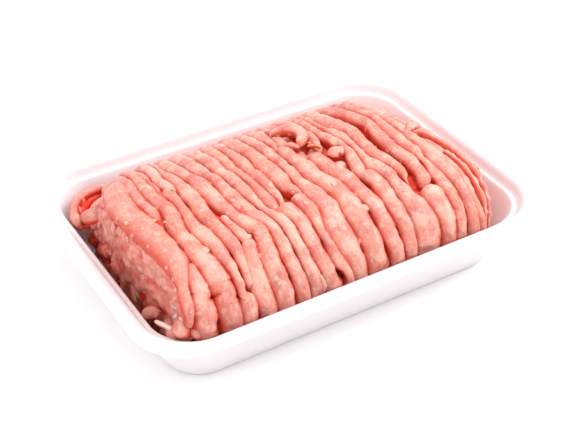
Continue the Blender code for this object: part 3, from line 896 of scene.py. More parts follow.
SHEAR_EDGE = Furrow(tuple(pair for pair in EDGE.path if pair[0] < 90) + ((92, -75.6), (100, -75), (110, -74.6), (120, -74), (143, -73)))
PRESS = 1.11
STRANDS: dict[str, Strand] = {
    # The band faces away from the key light; its low tone adds painted shade on top of that real shade.
    "band": Strand(EDGE, C0, start=7.5, first=End.BURIED, tone=0.1, rise=0.2),
    "short": Strand(C0, C1, stop=37, last=End.BURIED, rise=-0.3, tone=0.45),
    "narrow": Strand(C1, C1B, start=64.5, first=End.BURIED, rise=-0.9, tone=0.3),
    "second": Strand(L2, C2, tone=0.35),
    "third": Strand(C2, C3, start=6, stop=81, last=End.ROUND, rise=0.1, tone=0.35),
    "third_stub": Strand(Furrow(((-14, -53.6), (20, -53.6))), Furrow(((-14, -46.9), (20, -47.1))), stop=14.4, last=End.ROUND, rise=0.5, tone=0.8),
    "third_dark": Strand(C2, C2B, start=78, rise=-1.0, tone=0.1),
    "third_bright": Strand(C2B, C3, start=73, rise=0.3, tone=0.9),
    "fourth": Strand(C3, forked(((-14, -44.5), (14, -45.5), (20.5, -46.2), (25.5, -45.4), (31.7, -44.2), (35, -43.4)), R4, 37), start=13, tone=0.35),
    "fourth_front": Strand(C3B, L5, stop=37.0, last=End.ROUND, rise=0.1, tone=0.5),
    "fourth_lobe": Strand(Furrow(((-14, -47), (20, -46.6))), Furrow(((-14, -41.6), (20, -41.9))), stop=11.2, last=End.ROUND, rise=0.2, tone=0.6),
    "fourth_small": Strand(R4, Furrow(((30, -38.6), (37, -38.7), (40, -39.8), (45.6, -40.9), (51, -41.6))), start=33.4, stop=51, first=End.ROUND, last=End.ROUND, rise=0.2, tone=0.75),
    "fifth": Strand(L5, C6, tone=0.35),
    "sixth": Strand(C6, C7, tone=0.45),
    "seventh": Strand(C7, C8, tone=0.55),
    "eighth": Strand(C8, R9, stop=46.5, last=End.ROUND, rise=0.3, tone=0.4),
    "eighth_back": Strand(C8, C9, start=42, rise=-0.2, tone=0.4),
    "ninth": Strand(C9, C10, start=43, rise=-0.1, tone=0.35),
    "arch": Strand(R9, C12, stop=48.2, last=End.ROUND, rise=0.3, tone=0.4),
    "tenth": Strand(L11, C12, start=47.2, first=End.ROUND, rise=0.1, tone=0.2),
    "eleventh": Strand(C12, C13, tone=0.5),
    "twelfth": Strand(C13, C14, stop=88, tone=0.45),
    "twelfth_left": Strand(C13, C13B, start=82, rise=0.0, tone=0.35),
    "twelfth_right": Strand(C13B, C14, start=80, rise=0.0, tone=0.4),
    "thirteenth": Strand(C14, C15, stop=71.5, last=End.ROUND, tone=0.4),
    "curl_back": Strand(C14, C14B, start=95, rise=-0.5, tone=0.3),
    "curl_right": Strand(C14B, SLIT, start=70.5, first=End.ROUND, rise=0.4, tone=0.45),
    "fourteenth": Strand(C15, C16, stop=48.8, last=End.ROUND, rise=0.2, tone=0.45),
    "fourteenth_back": Strand(L15, C16, start=46, rise=-0.1, tone=0.35),
    "fifteenth": Strand(C16, R16, tone=0.65),
    "sixteenth": Strand(C17, C18, start=33, first=End.ROUND, rise=0.2, tone=0.35),
    "seventeenth": Strand(C18, C19, start=30, first=End.ROUND, rise=0.0, tone=0.3),
    "front_wide": Strand(L18, C19, stop=29.8, last=End.ROUND, rise=0.3, tone=0.6),
    "eighteenth": Strand(C19, C20, tone=0.5),
    "nineteenth": Strand(C20, C21, stop=46.5, last=End.ROUND, rise=0.2, tone=0.45),
    "twentieth": Strand(R21, C22, tone=0.45),
    "fall_1": Strand(C22, shifted(C22, 4.4), tone=0.4),
    "fall_2": Strand(shifted(C22, 4.4), shifted(C22, 8.8), rise=0.2, tone=0.5),
    "fall_3": Strand(shifted(C22, 8.8), shifted(C22, 13.2), tone=0.4),
    "fall_4": Strand(shifted(C22, 13.2), shifted(C22, 17.4), start=20, stop=128, rise=-0.2, tone=0.5),
    "fall_5": Strand(shifted(C22, 17.4), shifted(C22, 21.2), start=38, stop=120, rise=-0.4, tone=0.45),
}


def curve_guide(
    places: np.ndarray, radii: Sequence[float], flatness: float, up: np.ndarray, tone: float, blunt: float
) -> dict[str, np.ndarray]:
    """Runs a smooth centre line through a few places, for a piece of strand.

    Args:
        places: The places in mm, three numbers each.
        radii: Half widths at the places; both ends close to a round tip.
        flatness: Height over width.
        up: Outward directions at the places.
        tone: Paleness from 0 to 1.
        blunt: Length over which an end closes, as a share of its half width.

    Returns:
        Arrays as from Strand.guide.
    """
    places = np.asarray(places, float)
    padded = np.vstack([2 * places[0] - places[1], places, 2 * places[-1] - places[-2]])
    spans, line = len(places) - 1, []
    steps = np.linspace(0, spans, spans * 9 + 1)
    steps = np.unique(np.concatenate([steps, [0.03, 0.08, spans - 0.08, spans - 0.03]]))
    for step in steps:
        index = min(int(step), spans - 1)
        t = step - index
        a, b, c, d = padded[index : index + 4]
        line.append(0.5 * (2 * b + (c - a) * t + (2 * a - 5 * b + 4 * c - d) * t**2 + (3 * b - a - 3 * c + d) * t**3))
    line = np.array(line)
    along = np.concatenate([[0.0], np.cumsum(np.linalg.norm(np.diff(line, axis=0), axis=1))])
    width = np.interp(steps, range(len(radii)), radii)
    ends = np.minimum(along, along[-1] - along)
    near = np.clip(ends / np.maximum(width * blunt, 0.3), 0.0, 1.0)
    width = width * np.sqrt(np.maximum(1 - (1 - near) ** 2, 0.03))
    ups = np.stack([np.interp(steps, range(len(up)), up[:, axis]) for axis in range(3)], 1)
    ups /= np.linalg.norm(ups, axis=1, keepdims=True)
    return {"centre": line, "half_width": width, "half_height": width * flatness, "up": ups, "along": along, "tone": np.full(len(line), tone)}


@dataclass(frozen=True)
class Scrap:
    """A short or torn piece of strand.

    Attributes:
        route: Places in mm, or x, arc length and lift over the loaf's form if on_loaf.
        radii: Half widths at the places.
        on_loaf: Whether the route is given on the loaf's form.
        flatness: Height over width.
        tone: Paleness from 0 to 1.
        blunt: Length over which an end closes, as a share of its half width.
        facing: Its outward direction where the route isn't given on the loaf's form.
    """

    route: tuple[tuple[float, float, float], ...]
    radii: tuple[float, ...]
    on_loaf: bool = True
    flatness: float = 0.85
    tone: float = 0.4
    blunt: float = 1.0
    facing: tuple[float, float, float] = (-0.45, -0.35, 0.82)

    def guide(self) -> dict[str, np.ndarray]:
        """Works out its centre line and sizes."""
        route = np.array(self.route, float)
        up = np.tile(self.facing, (len(route), 1))
        if self.on_loaf:
            up = LOAF.normal(route[:, 0], route[:, 1])
            route = LOAF.place(route[:, 0], route[:, 1]) + up * route[:, 2:]
        return curve_guide(route, self.radii, self.flatness, up, self.tone, self.blunt)


@dataclass
class StrandSweep:
    """Sweeps centre lines into strands of meat by Geometry Nodes.

    Attributes:
        ring: Points round a strand.
        lumps: Height of the uneven swellings, mm.
        lump_length: Length of a swelling, mm.
        grain: Height of the fine roughness, mm.
        grain_length: Length of a grain, mm.
        seed: Fixes the swellings.
    """

    ring: int = 18
    lumps: float = 0.5
    lump_length: float = 5.0
    grain: float = 0.2
    grain_length: float = 1.9
    seed: int = 4

    def guides(self, strands: Iterable[dict[str, np.ndarray]], name: str) -> bpy.types.Object:
        """Makes a mesh of centre lines that carries each strand's sizes.

        Args:
            strands: The guides' arrays.
            name: The object's name.

        Returns:
            The object that Geometry Nodes will sweep.
        """
        strands = list(strands)
        edges, numbers, first = [], [], 0
        for index, one in enumerate(strands):
            count = len(one["along"])
            edges += [(first + i, first + i + 1) for i in range(count - 1)]
            numbers += [float(index)] * count
            first += count
        mesh = bpy.data.meshes.new(name)
        mesh.from_pydata((np.concatenate([one["centre"] for one in strands]) * MM).tolist(), edges, [])
        for key, scale in (("half_width", MM), ("half_height", MM), ("along", 1.0), ("tone", 1.0)):
            spread_attribute(mesh, key, np.concatenate([one[key] for one in strands]) * scale)
        spread_attribute(mesh, "strand", np.array(numbers))
        ups = np.concatenate([one["up"] for one in strands]).astype(np.float32)
        mesh.attributes.new("up", "FLOAT_VECTOR", "POINT").data.foreach_set("vector", ups.ravel())
        obj = bpy.data.objects.new(name, mesh)
        bpy.context.scene.collection.objects.link(obj)
        return obj

    def tree(self) -> bpy.types.NodeTree:
        """Builds the Geometry Nodes that sweep the centre lines, with the sizes as named inputs."""
        inputs = {"Ring Points": "Int", "Lump Height": "Float", "Lump Length": "Float", "Grain Height": "Float", "Grain Length": "Float", "Seed": "Float", "Material": "Material"}
        tree, given = new_geometry_tree("strand_sweep", inputs)
        read, vector, number = tree_tools(tree)
        curve = add_node(tree, "GeometryNodeMeshToCurve", Mesh=given["Geometry"]).outputs[0]
        place = add_node(tree, "GeometryNodeInputPosition").outputs[0]
        kept = store(tree, curve, "spine", place, "FLOAT_VECTOR")
        sized = add_node(tree, "GeometryNodeSetCurveRadius", Curve=kept, Radius=read("half_width")).outputs[0]
        circle = add_node(tree, "GeometryNodeCurvePrimitiveCircle", {"mode": "RADIUS"}, Resolution=given["Ring Points"], Radius=1.0).outputs["Curve"]
        ring = store(tree, circle, "around", add_node(tree, "GeometryNodeSplineParameter").outputs["Factor"])
        sweep = add_node(tree, "GeometryNodeCurveToMesh", Curve=sized, Profile_Curve=ring, Fill_Caps=True)
        if "Scale" in sweep.inputs:
            tree.links.new(read("half_width"), sweep.inputs["Scale"])
        up = read("up", "FLOAT_VECTOR")
        away = vector("SUBTRACT", place, read("spine", "FLOAT_VECTOR")).outputs[0]
        height = vector("DOT_PRODUCT", away, up).outputs["Value"]
        flat = number("SUBTRACT", number("DIVIDE", read("half_height"), read("half_width")), 1.0)
        squash = add_node(tree, "ShaderNodeVectorMath", {"operation": "SCALE"}, i0=up, Scale=number("MULTIPLY", height, flat)).outputs[0]
        # side: 0 on a crown to about 1 low on the flanks; the finish paints red shade by it.
        side = number("SUBTRACT", 1.0, number("DIVIDE", height, read("half_width")))
        shaped = store(tree, sweep.outputs[0], "side", side)
        turn = number("MULTIPLY", read("around"), math.tau)
        drawn = add_node(tree, "ShaderNodeCombineXYZ", X=number("MULTIPLY", number("COSINE", turn), 3.2), Y=number("MULTIPLY", number("SINE", turn), 3.2), Z=number("ADD", number("MULTIPLY", read("along"), 0.22), number("MULTIPLY", read("strand"), 53.0))).outputs[0]
        shaped = store(tree, shaped, "drawn", drawn, "FLOAT_VECTOR")
        moved = add_node(tree, "GeometryNodeSetPosition", Geometry=shaped, Offset=squash).outputs[0]
        direction = vector("NORMALIZE", away).outputs[0]
        swell = None
        for length, amount in (("Lump Length", "Lump Height"), ("Grain Length", "Grain Height")):
            noise = add_node(tree, "ShaderNodeTexNoise", {"noise_dimensions": "4D"}, Vector=place, W=given["Seed"], Scale=number("DIVIDE", 1.0, given[length]), Detail=2.0)
            raised = number("MULTIPLY", number("SUBTRACT", noise.outputs["Fac"], 0.5), number("MULTIPLY", given[amount], 4.0))
            swell = raised if swell is None else number("ADD", swell, raised)
        pushed = add_node(tree, "ShaderNodeVectorMath", {"operation": "SCALE"}, i0=direction, Scale=swell).outputs[0]
        rough = add_node(tree, "GeometryNodeSetPosition", Geometry=moved, Offset=pushed).outputs[0]
        close_tree(tree, rough, given["Material"])
        return tree

    def build(self, strands: Iterable[dict[str, np.ndarray]], name: str, finish: MeatFinish, *replaced: str) -> bpy.types.Object:
        """Sweeps strands and hangs them on the frame as one piece.

        Args:
            strands: The strands' guides.
            name: The piece's name.
            finish: The meat's finish.
            replaced: CAD nodes that the piece stands for.

        Returns:
            The piece, a plain mesh.
        """
        obj = self.guides(strands, name)
        values = {"Ring Points": self.ring, "Lump Height": self.lumps * MM, "Lump Length": self.lump_length * MM, "Grain Height": self.grain * MM, "Grain Length": self.grain_length * MM, "Seed": float(self.seed), "Material": finish.make()}
        run_tree(obj, self.tree(), values)
        TRAY.settle(obj)
        face_outwards(obj)
        return finish_piece(obj, "mince", *replaced)


@dataclass
class Relief:
    """Uneven skin on a closed form, raised along its normals by Geometry Nodes. Sizes in mm."""

    coarse: float = 0.8
    coarse_length: float = 6.0
    fine: float = 0.25
    fine_length: float = 1.5
    seed: int = 2

    def tree(self) -> bpy.types.NodeTree:
        """Builds the node group, with its sizes as named inputs."""
        inputs = {"Coarse Height": "Float", "Coarse Length": "Float", "Fine Height": "Float", "Fine Length": "Float", "Seed": "Float", "Material": "Material"}
        tree, given = new_geometry_tree("crumbled_relief", inputs)
        read, vector, number = tree_tools(tree)
        place = add_node(tree, "GeometryNodeInputPosition").outputs[0]
        swell, hollow = None, None
        for length, amount in (("Coarse Length", "Coarse Height"), ("Fine Length", "Fine Height")):
            noise = add_node(tree, "ShaderNodeTexNoise", {"noise_dimensions": "4D"}, Vector=place, W=given["Seed"], Scale=number("DIVIDE", 1.0, given[length]), Detail=3.0)
            centred = number("SUBTRACT", noise.outputs["Fac"], 0.5)
            raised = number("MULTIPLY", centred, number("MULTIPLY", given[amount], 4.0))
            swell = raised if swell is None else number("ADD", swell, raised)
            # Painted shade: the coarse relief's hollows get more of the red furrow shade.
            hollow = number("MULTIPLY", centred, -3.0) if hollow is None else hollow
        side = number("ADD", read("side"), hollow)
        held = number("MULTIPLY", swell, read("loose"))
        shaped = store(tree, given["Geometry"], "side", side)
        shaped = store(tree, shaped, "drawn", add_node(tree, "ShaderNodeVectorMath", {"operation": "SCALE"}, i0=place, Scale=700.0).outputs[0], "FLOAT_VECTOR")
        normal = add_node(tree, "GeometryNodeInputNormal").outputs[0]
        pushed = add_node(tree, "ShaderNodeVectorMath", {"operation": "SCALE"}, i0=normal, Scale=held).outputs[0]
        close_tree(tree, add_node(tree, "GeometryNodeSetPosition", Geometry=shaped, Offset=pushed).outputs[0], given["Material"])
        return tree

    def apply(self, obj: bpy.types.Object, finish: MeatFinish) -> None:
        """Raises the skin of an object that carries the attributes side and loose.

        Args:
            obj: The closed form.
            finish: Its finish.
        """
        values = {"Coarse Height": self.coarse * MM, "Coarse Length": self.coarse_length * MM, "Fine Height": self.fine * MM, "Fine Length": self.fine_length * MM, "Seed": float(self.seed), "Material": finish.make()}
        run_tree(obj, self.tree(), values)
        TRAY.settle(obj)


@dataclass
class Crumbs:
    """Small crumbs set into a surface by Geometry Nodes.

    Attributes:
        name: The piece's name.
        density: Crumbs for each square centimetre where the chosen attribute is 1.
        radius: Least and greatest radius, mm.
        flatness: Height over width.
        sunk: How deep the crumb's middle lies, as a share of its radius.
        seed: Fixes places and sizes.
    """

    name: str
    density: float
    radius: tuple[float, float]
    flatness: float = 0.5
    stretch: float = 1.4
    sunk: float = 0.2
    seed: int = 5

    def tree(self) -> bpy.types.NodeTree:
        """Builds the node group, with its sizes as named inputs."""
        inputs = {"Density": "Float", "Least Radius": "Float", "Greatest Radius": "Float", "Flatness": "Float", "Stretch": "Float", "Sunk": "Float", "Seed": "Int", "Material": "Material"}
        tree, given = new_geometry_tree("embedded_crumbs", inputs)
        read, vector, number = tree_tools(tree)
        spread = add_node(tree, "GeometryNodeDistributePointsOnFaces", {"distribute_method": "RANDOM"}, Mesh=given["Geometry"], Density=number("MULTIPLY", given["Density"], read("crumbly")), Seed=given["Seed"])
        size = add_node(tree, "FunctionNodeRandomValue", {"data_type": "FLOAT"}, i2=given["Least Radius"], i3=given["Greatest Radius"], Seed=given["Seed"]).outputs[1]
        twist = add_node(tree, "FunctionNodeRandomValue", {"data_type": "FLOAT"}, i2=0.0, i3=math.tau, Seed=number("ADD", given["Seed"], 1.0)).outputs[1]
        sphere = add_node(tree, "GeometryNodeMeshIcoSphere", Radius=1.0, Subdivisions=2).outputs["Mesh"]
        place = add_node(tree, "GeometryNodeInputPosition").outputs[0]
        bumps = add_node(tree, "ShaderNodeTexNoise", Vector=place, Scale=1.4, Detail=1.0).outputs["Fac"]
        swell = add_node(tree, "ShaderNodeVectorMath", {"operation": "SCALE"}, i0=place, Scale=number("SUBTRACT", bumps, 0.5)).outputs[0]
        sphere = add_node(tree, "GeometryNodeSetPosition", Geometry=sphere, Offset=swell).outputs[0]
        shape = add_node(tree, "ShaderNodeCombineXYZ", X=given["Stretch"], Y=1.0, Z=given["Flatness"]).outputs[0]
        scale = add_node(tree, "ShaderNodeVectorMath", {"operation": "SCALE"}, i0=shape, Scale=size).outputs[0]
        turned = add_node(tree, "FunctionNodeRotateRotation", {"rotation_space": "LOCAL"}, i0=spread.outputs["Rotation"], i1=add_node(tree, "ShaderNodeCombineXYZ", Z=twist).outputs[0]).outputs[0]
        lower = number("MULTIPLY", number("MULTIPLY", size, given["Sunk"]), -1.0)
        drop = add_node(tree, "ShaderNodeVectorMath", {"operation": "SCALE"}, i0=spread.outputs["Normal"], Scale=lower).outputs[0]
        points = add_node(tree, "GeometryNodeSetPosition", Geometry=spread.outputs["Points"], Offset=drop).outputs[0]
        placed = add_node(tree, "GeometryNodeInstanceOnPoints", Points=points, Instance=sphere, Rotation=turned, Scale=scale).outputs[0]
        real = add_node(tree, "GeometryNodeRealizeInstances", Geometry=placed).outputs[0]
        real = store(tree, real, "tone", add_node(tree, "FunctionNodeRandomValue", {"data_type": "FLOAT"}, i2=0.0, i3=1.0).outputs[1])
        close_tree(tree, real, given["Material"])
        return tree

    def build(self, base: bpy.types.Object, crumbly: np.ndarray, finish: MeatFinish) -> bpy.types.Object:
        """Sets the crumbs into a surface.

        Args:
            base: The surface.
            crumbly: How many crumbs each of its points draws, from 0 to 1.
            finish: The crumbs' finish.

        Returns:
            The piece, a plain mesh.
        """
        obj = bpy.data.objects.new(self.name, base.data.copy())
        obj.data.name = self.name
        bpy.context.scene.collection.objects.link(obj)
        spread_attribute(obj.data, "crumbly", crumbly)
        values = {"Density": self.density * 1e4, "Least Radius": self.radius[0] * MM, "Greatest Radius": self.radius[1] * MM, "Flatness": self.flatness, "Stretch": self.stretch, "Sunk": self.sunk, "Seed": self.seed, "Material": finish.make()}
        run_tree(obj, self.tree(), values)
        TRAY.settle(obj)
        return finish_piece(obj, "mince")


@dataclass
class LoafCore:
    """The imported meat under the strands, seen only at the bottom of the furrows.

    Attributes:
        depth: How deep it lies under the loaf's form, mm.
        left: x of its left end.
        right: x of its right end.
        step: Size of its faces, mm.
        pits: Where it lies deeper, under holes between strands: x, arc length, radius and depth.
    """

    depth: float = 4.0
    left: float = -69.0
    right: float = 79.0
    step: float = 1.6
    pits: tuple[tuple[float, float, float, float], ...] = (
        (-63.6, 17.5, 3.0, 3.0), (-9.5, 8.0, 4.0, 3.0), (-15.2, 50.5, 3.0, 3.0), (18.0, 73.0, 4.5, 3.5), (8.0, 72.5, 3.0, 3.0),
        (9.5, 82.0, 3.0, 2.5), (35.5, 34.5, 4.5, 3.0), (37.2, 46.0, 4.5, 3.0), (35.8, 56.0, 4.5, 2.5), (37.0, 65.0, 4.5, 2.5),
        (39.2, 76.0, 5.0, 2.5), (39.5, 88.0, 5.0, 2.0), (18.3, 40.0, 4.0, 2.5),
    )

    def build(self) -> bpy.types.Object:
        """Builds the closed core and stands it in for the loaf's solid."""
        columns = np.arange(self.left, self.right, self.step)
        along = np.arange(-20.0, LOAF.end(), self.step)
        grid_x, grid_s = np.meshgrid(columns, along, indexing="ij")
        depth = np.full(grid_x.shape, self.depth)
        for x, s, radius, extra in self.pits:
            depth += extra * np.exp(-((grid_x - x) ** 2 + (grid_s - s) ** 2) / radius**2)
        places = LOAF.place(grid_x, grid_s) - LOAF.normal(grid_x, grid_s) * depth[..., None]
        places[..., 2] = np.maximum(places[..., 2], LOAF.foot)
        rows, count = grid_x.shape
        points = places.reshape(-1, 3)
        faces = grid_faces(rows, count, True)
        for ring in (0, rows - 1):
            corners = list(range(ring * count, (ring + 1) * count))
            points = np.vstack([points, places[ring].mean(0)])
            faces += [(corners[i], corners[(i + 1) % count], len(points) - 1) for i in range(count)]
        obj = mesh_object("loaf_core", TRAY.keep_inside(points, LOAF.clearance), faces)
        face_outwards(obj)
        # Painted shade: the core carries mostly the red furrow shade, as it shows only at the furrows' bottoms.
        spread_attribute(obj.data, "side", np.full(len(obj.data.vertices), 0.6))
        spread_attribute(obj.data, "loose", np.ones(len(obj.data.vertices)))
        Relief(coarse=0.5, coarse_length=4.0, fine=0.2, seed=7).apply(obj, CORE_PAINTED_GLOW)
        return finish_piece(obj, "mince", "mince_loaf")


@dataclass
class ShearedEnd:
    """The loaf's left end, where the block was cut from the next one and its strands smeared together.

    Attributes:
        back: x of its hidden back, inside the core.
        foot: x of its foot.
        tuck: How far the skin goes in under the outermost strand.
        below: How deep under the loaf's form it starts where its edge is torn.
        flush: The same where it runs on from the outermost strand.
        pits: Hollows in it: y, z, radius and depth.
    """

    back: float = -66.0
    foot: float = -74.2
    tuck: float = 4.0
    below: float = 3.0
    flush: float = 1.5
    pits: tuple[tuple[float, float, float, float], ...] = (
        (-27.5, 46.5, 2.4, 3.6),
        (-40.2, 43.8, 2.2, 3.6),
        (-20.0, 48.0, 2.0, 2.0),
        (-33.0, 46.5, 2.0, 2.0),
        (-47.5, 38.0, 1.8, 2.4),
        (-13.0, 15.5, 2.2, 2.4),
        (-26.0, 10.0, 3.0, 2.5),
        (17.0, 12.0, 2.6, 2.0),
        (29.0, 11.0, 2.6, 2.6),
        (7.0, 9.0, 2.8, 2.2),
        (-4.0, 8.0, 2.4, 2.6),
        (-15.0, 6.0, 3.4, 3.0),
    )

    def build(self) -> list[bpy.types.Object]:
        """Builds the skin, its crumbs and its flecks of fat."""
        along = np.arange(-13.0, 132.0, 0.75)
        shares = np.linspace(0, 1, 62) ** 1.15
        grid_s, share = np.meshgrid(along, shares, indexing="ij")
        edge = SHEAR_EDGE.at(grid_s)
        torn = smooth((56 - grid_s) / 6) * smooth((grid_s + 2) / 6)
        below = self.flush + (self.below - self.flush) * smooth((60 - grid_s) / 8)
        outline = LOAF.place(edge, grid_s) - LOAF.normal(edge, grid_s) * below[..., None]
        middle_y, bottom = outline[..., 1] * 0.8, np.full_like(edge, LOAF.foot)
        y = outline[..., 1] * (1 - share) + middle_y * share
        z = outline[..., 2] * (1 - share) + bottom * share
        depth = share * np.hypot(outline[..., 1] - middle_y, outline[..., 2] - bottom)
        x = edge + 0.7 + (self.foot - edge - 0.7) * smooth(share * 0.9)
        x = x + self.tuck * np.exp(-((depth / 1.3) ** 2)) + 1.6 * torn * np.exp(-(((depth - 2.5) / 1.8) ** 2))
        # Painted shade: a red line just inside the torn edge, in the groove where the outermost strand meets the face.
        side = 0.1 + 0.75 * torn * np.exp(-(((depth - 2.2) / 1.3) ** 2))
        # Each pit is pressed in and also painted with red shade.
        for pit_y, pit_z, radius, amount in self.pits:
            near = np.exp(-(((y - pit_y) ** 2 + (z - pit_z) ** 2) / radius**2))
            x = x + amount * near
            side = side + 1.2 * near
        # Painted shade: the low part of the face turns towards the saturated red furrow colour, for the shade under the
        # loaf.
        low = smooth((19 - z + 0.12 * y) / 14)
        side = side + 0.45 * low
        front = TRAY.keep_inside(np.stack([x, y, z], -1), LOAF.clearance)
        rows, columns = edge.shape
        hidden = front.copy()
        hidden[..., 0] = np.maximum(self.back, front[..., 0] + 1.0)
        faces = grid_faces(rows, columns, False)
        total = rows * columns
        faces += [tuple(total + corner for corner in reversed(face)) for face in grid_faces(rows, columns, False)]
        border = [(0, c) for c in range(columns)] + [(r, columns - 1) for r in range(1, rows)]
        border += [(rows - 1, c) for c in range(columns - 2, -1, -1)] + [(r, 0) for r in range(rows - 2, 0, -1)]
        ring = [r * columns + c for r, c in border]
        faces += [(ring[i], ring[i - 1], total + ring[i - 1], total + ring[i]) for i in range(len(ring))]
        obj = mesh_object("sheared_end", np.vstack([front.reshape(-1, 3), hidden.reshape(-1, 3)]), faces)
        spread_attribute(obj.data, "side", np.concatenate([side.ravel(), np.ones(total)]))
        spread_attribute(obj.data, "loose", np.concatenate([np.ones(total), np.zeros(total)]))
        spread_attribute(obj.data, "tone", np.concatenate([np.full(total, 0.35), np.zeros(total)]))
        face_outwards(obj)
        Relief(coarse=1.9, coarse_length=4.6, fine=0.35, fine_length=1.5, seed=2).apply(obj, SHEARED)
        points = np.empty(len(obj.data.vertices) * 3)
        obj.data.vertices.foreach_get("co", points)
        points = points.reshape(-1, 3) / MM
        shown = (points[:, 0] < -71.5).astype(float)
        low = smooth((20 - points[:, 2] + 0.15 * points[:, 1]) / 8)
        pieces = [finish_piece(obj, "mince")]
        # Crumbs low on the cut face take the painted red glow for the shade under the loaf.
        pieces.append(Crumbs("low_crumbs", 4.5, (1.5, 3.0), 0.7, 1.25, 0.25, 11).build(obj, shown * low, LOW_PAINTED_GLOW))
        pieces.append(Crumbs("end_crumbs", 5.0, (1.0, 2.8), 0.38, 1.6, 0.35, 12).build(obj, shown * (0.12 + 0.88 * low), SHEARED))
        # Pale flecks on the cut face: partly fat, partly painted glints.
        pieces.append(Crumbs("end_fat_and_glints", 1.1, (0.4, 1.2), 0.3, 2.4, 0.2, 13).build(obj, shown, PALE_FAT_AND_GLINT))
        return pieces


RAGGED = (
    Scrap(((54.0, 61, -0.8), (57.2, 57, 0.4), (60, 51, 0.9), (61.6, 45, 1.2), (62.8, 38, 1.6), (63.6, 30, 1.8), (63.8, 22, 1.8), (63.4, 14, 1.6), (62.8, 6, 1.2), (62.4, -4, 0.8)), (1.8, 2.5, 2.3, 2.9, 2.3, 3.0, 2.5, 2.9, 2.5, 2.2), tone=0.4),
    Scrap(((57.2, 44, -0.2), (58.4, 36, 0.5), (59.2, 27, 0.9), (59.6, 18, 0.8), (59.4, 10, 0.6), (59, 2, 0.2)), (1.2, 1.9, 1.6, 2.0, 1.6, 1.4), tone=0.3),
    Scrap(((52.4, 62, -0.6), (55.5, 64, 0.2), (60.0, 68, 0.4), (65, 73, 0.2)), (1.4, 2.3, 2.6, 2.2), tone=0.8),
)
RAGGED_EDGE = (
    Scrap(((63.4, 47, 2.6), (65, 42, 3.0), (66, 37, 3.2)), (0.7, 1.0, 0.7), tone=0.5),
    Scrap(((66.4, 34, 3.6), (66.8, 29, 3.9), (66.6, 24, 3.6)), (0.8, 1.1, 0.7), tone=0.3),
    Scrap(((66.4, 19, 3.2), (66.2, 13, 3.2), (65.6, 8, 2.6)), (0.7, 0.9, 0.6), tone=0.6),
    Scrap(((61.0, 57, 1.6), (62.6, 53, 2.0), (63.4, 50, 1.8)), (0.6, 0.8, 0.6), tone=0.4),
)
SCRAPS = (
    Scrap(((6.8, 97.5, -1.4), (8.8, 95.2, 0.3), (11.2, 92.2, 1.2), (13.0, 88.0, 1.6), (13.4, 84.4, 1.6), (12.2, 80.9, 1.3), (10.0, 78.2, 0.9), (8.8, 76.6, -0.2)), (2.2, 2.8, 3.0, 3.0, 2.9, 2.8, 2.4, 1.6), tone=0.7),
    Scrap(((4.6, 83.5, -1.2), (6.2, 79.8, -0.4), (8.3, 76.6, -0.6)), (1.6, 2.0, 1.6), tone=0.4),
    Scrap(((15.2, 63.0, -1.4), (17.8, 64.6, -0.3), (21.0, 63.2, -0.7)), (2.8, 3.3, 2.7), flatness=0.6, tone=0.3, blunt=0.25),
    Scrap(((21.6, 74.6, -0.8), (21.2, 71.2, -0.2), (20.2, 68.6, -0.4)), (1.2, 1.8, 1.4), tone=0.35),
    Scrap(((16.8, 57.6, -2.0), (14.4, 56.0, -1.0), (11.6, 52.0, -0.9)), (1.9, 2.6, 2.1), flatness=0.5, tone=0.8),
    Scrap(((8.0, 68, -4.6), (10.5, 71, -4.6), (14, 75, -4.8), (17, 80, -4.8)), (3.2, 3.2, 3.0, 2.5), tone=0.0),
    Scrap(((6.6, 70, -4.4), (7.6, 76, -4.4), (8.4, 84, -4.2), (8.8, 90, -3.8)), (2.6, 2.6, 2.4, 2.4), tone=0.0),
)


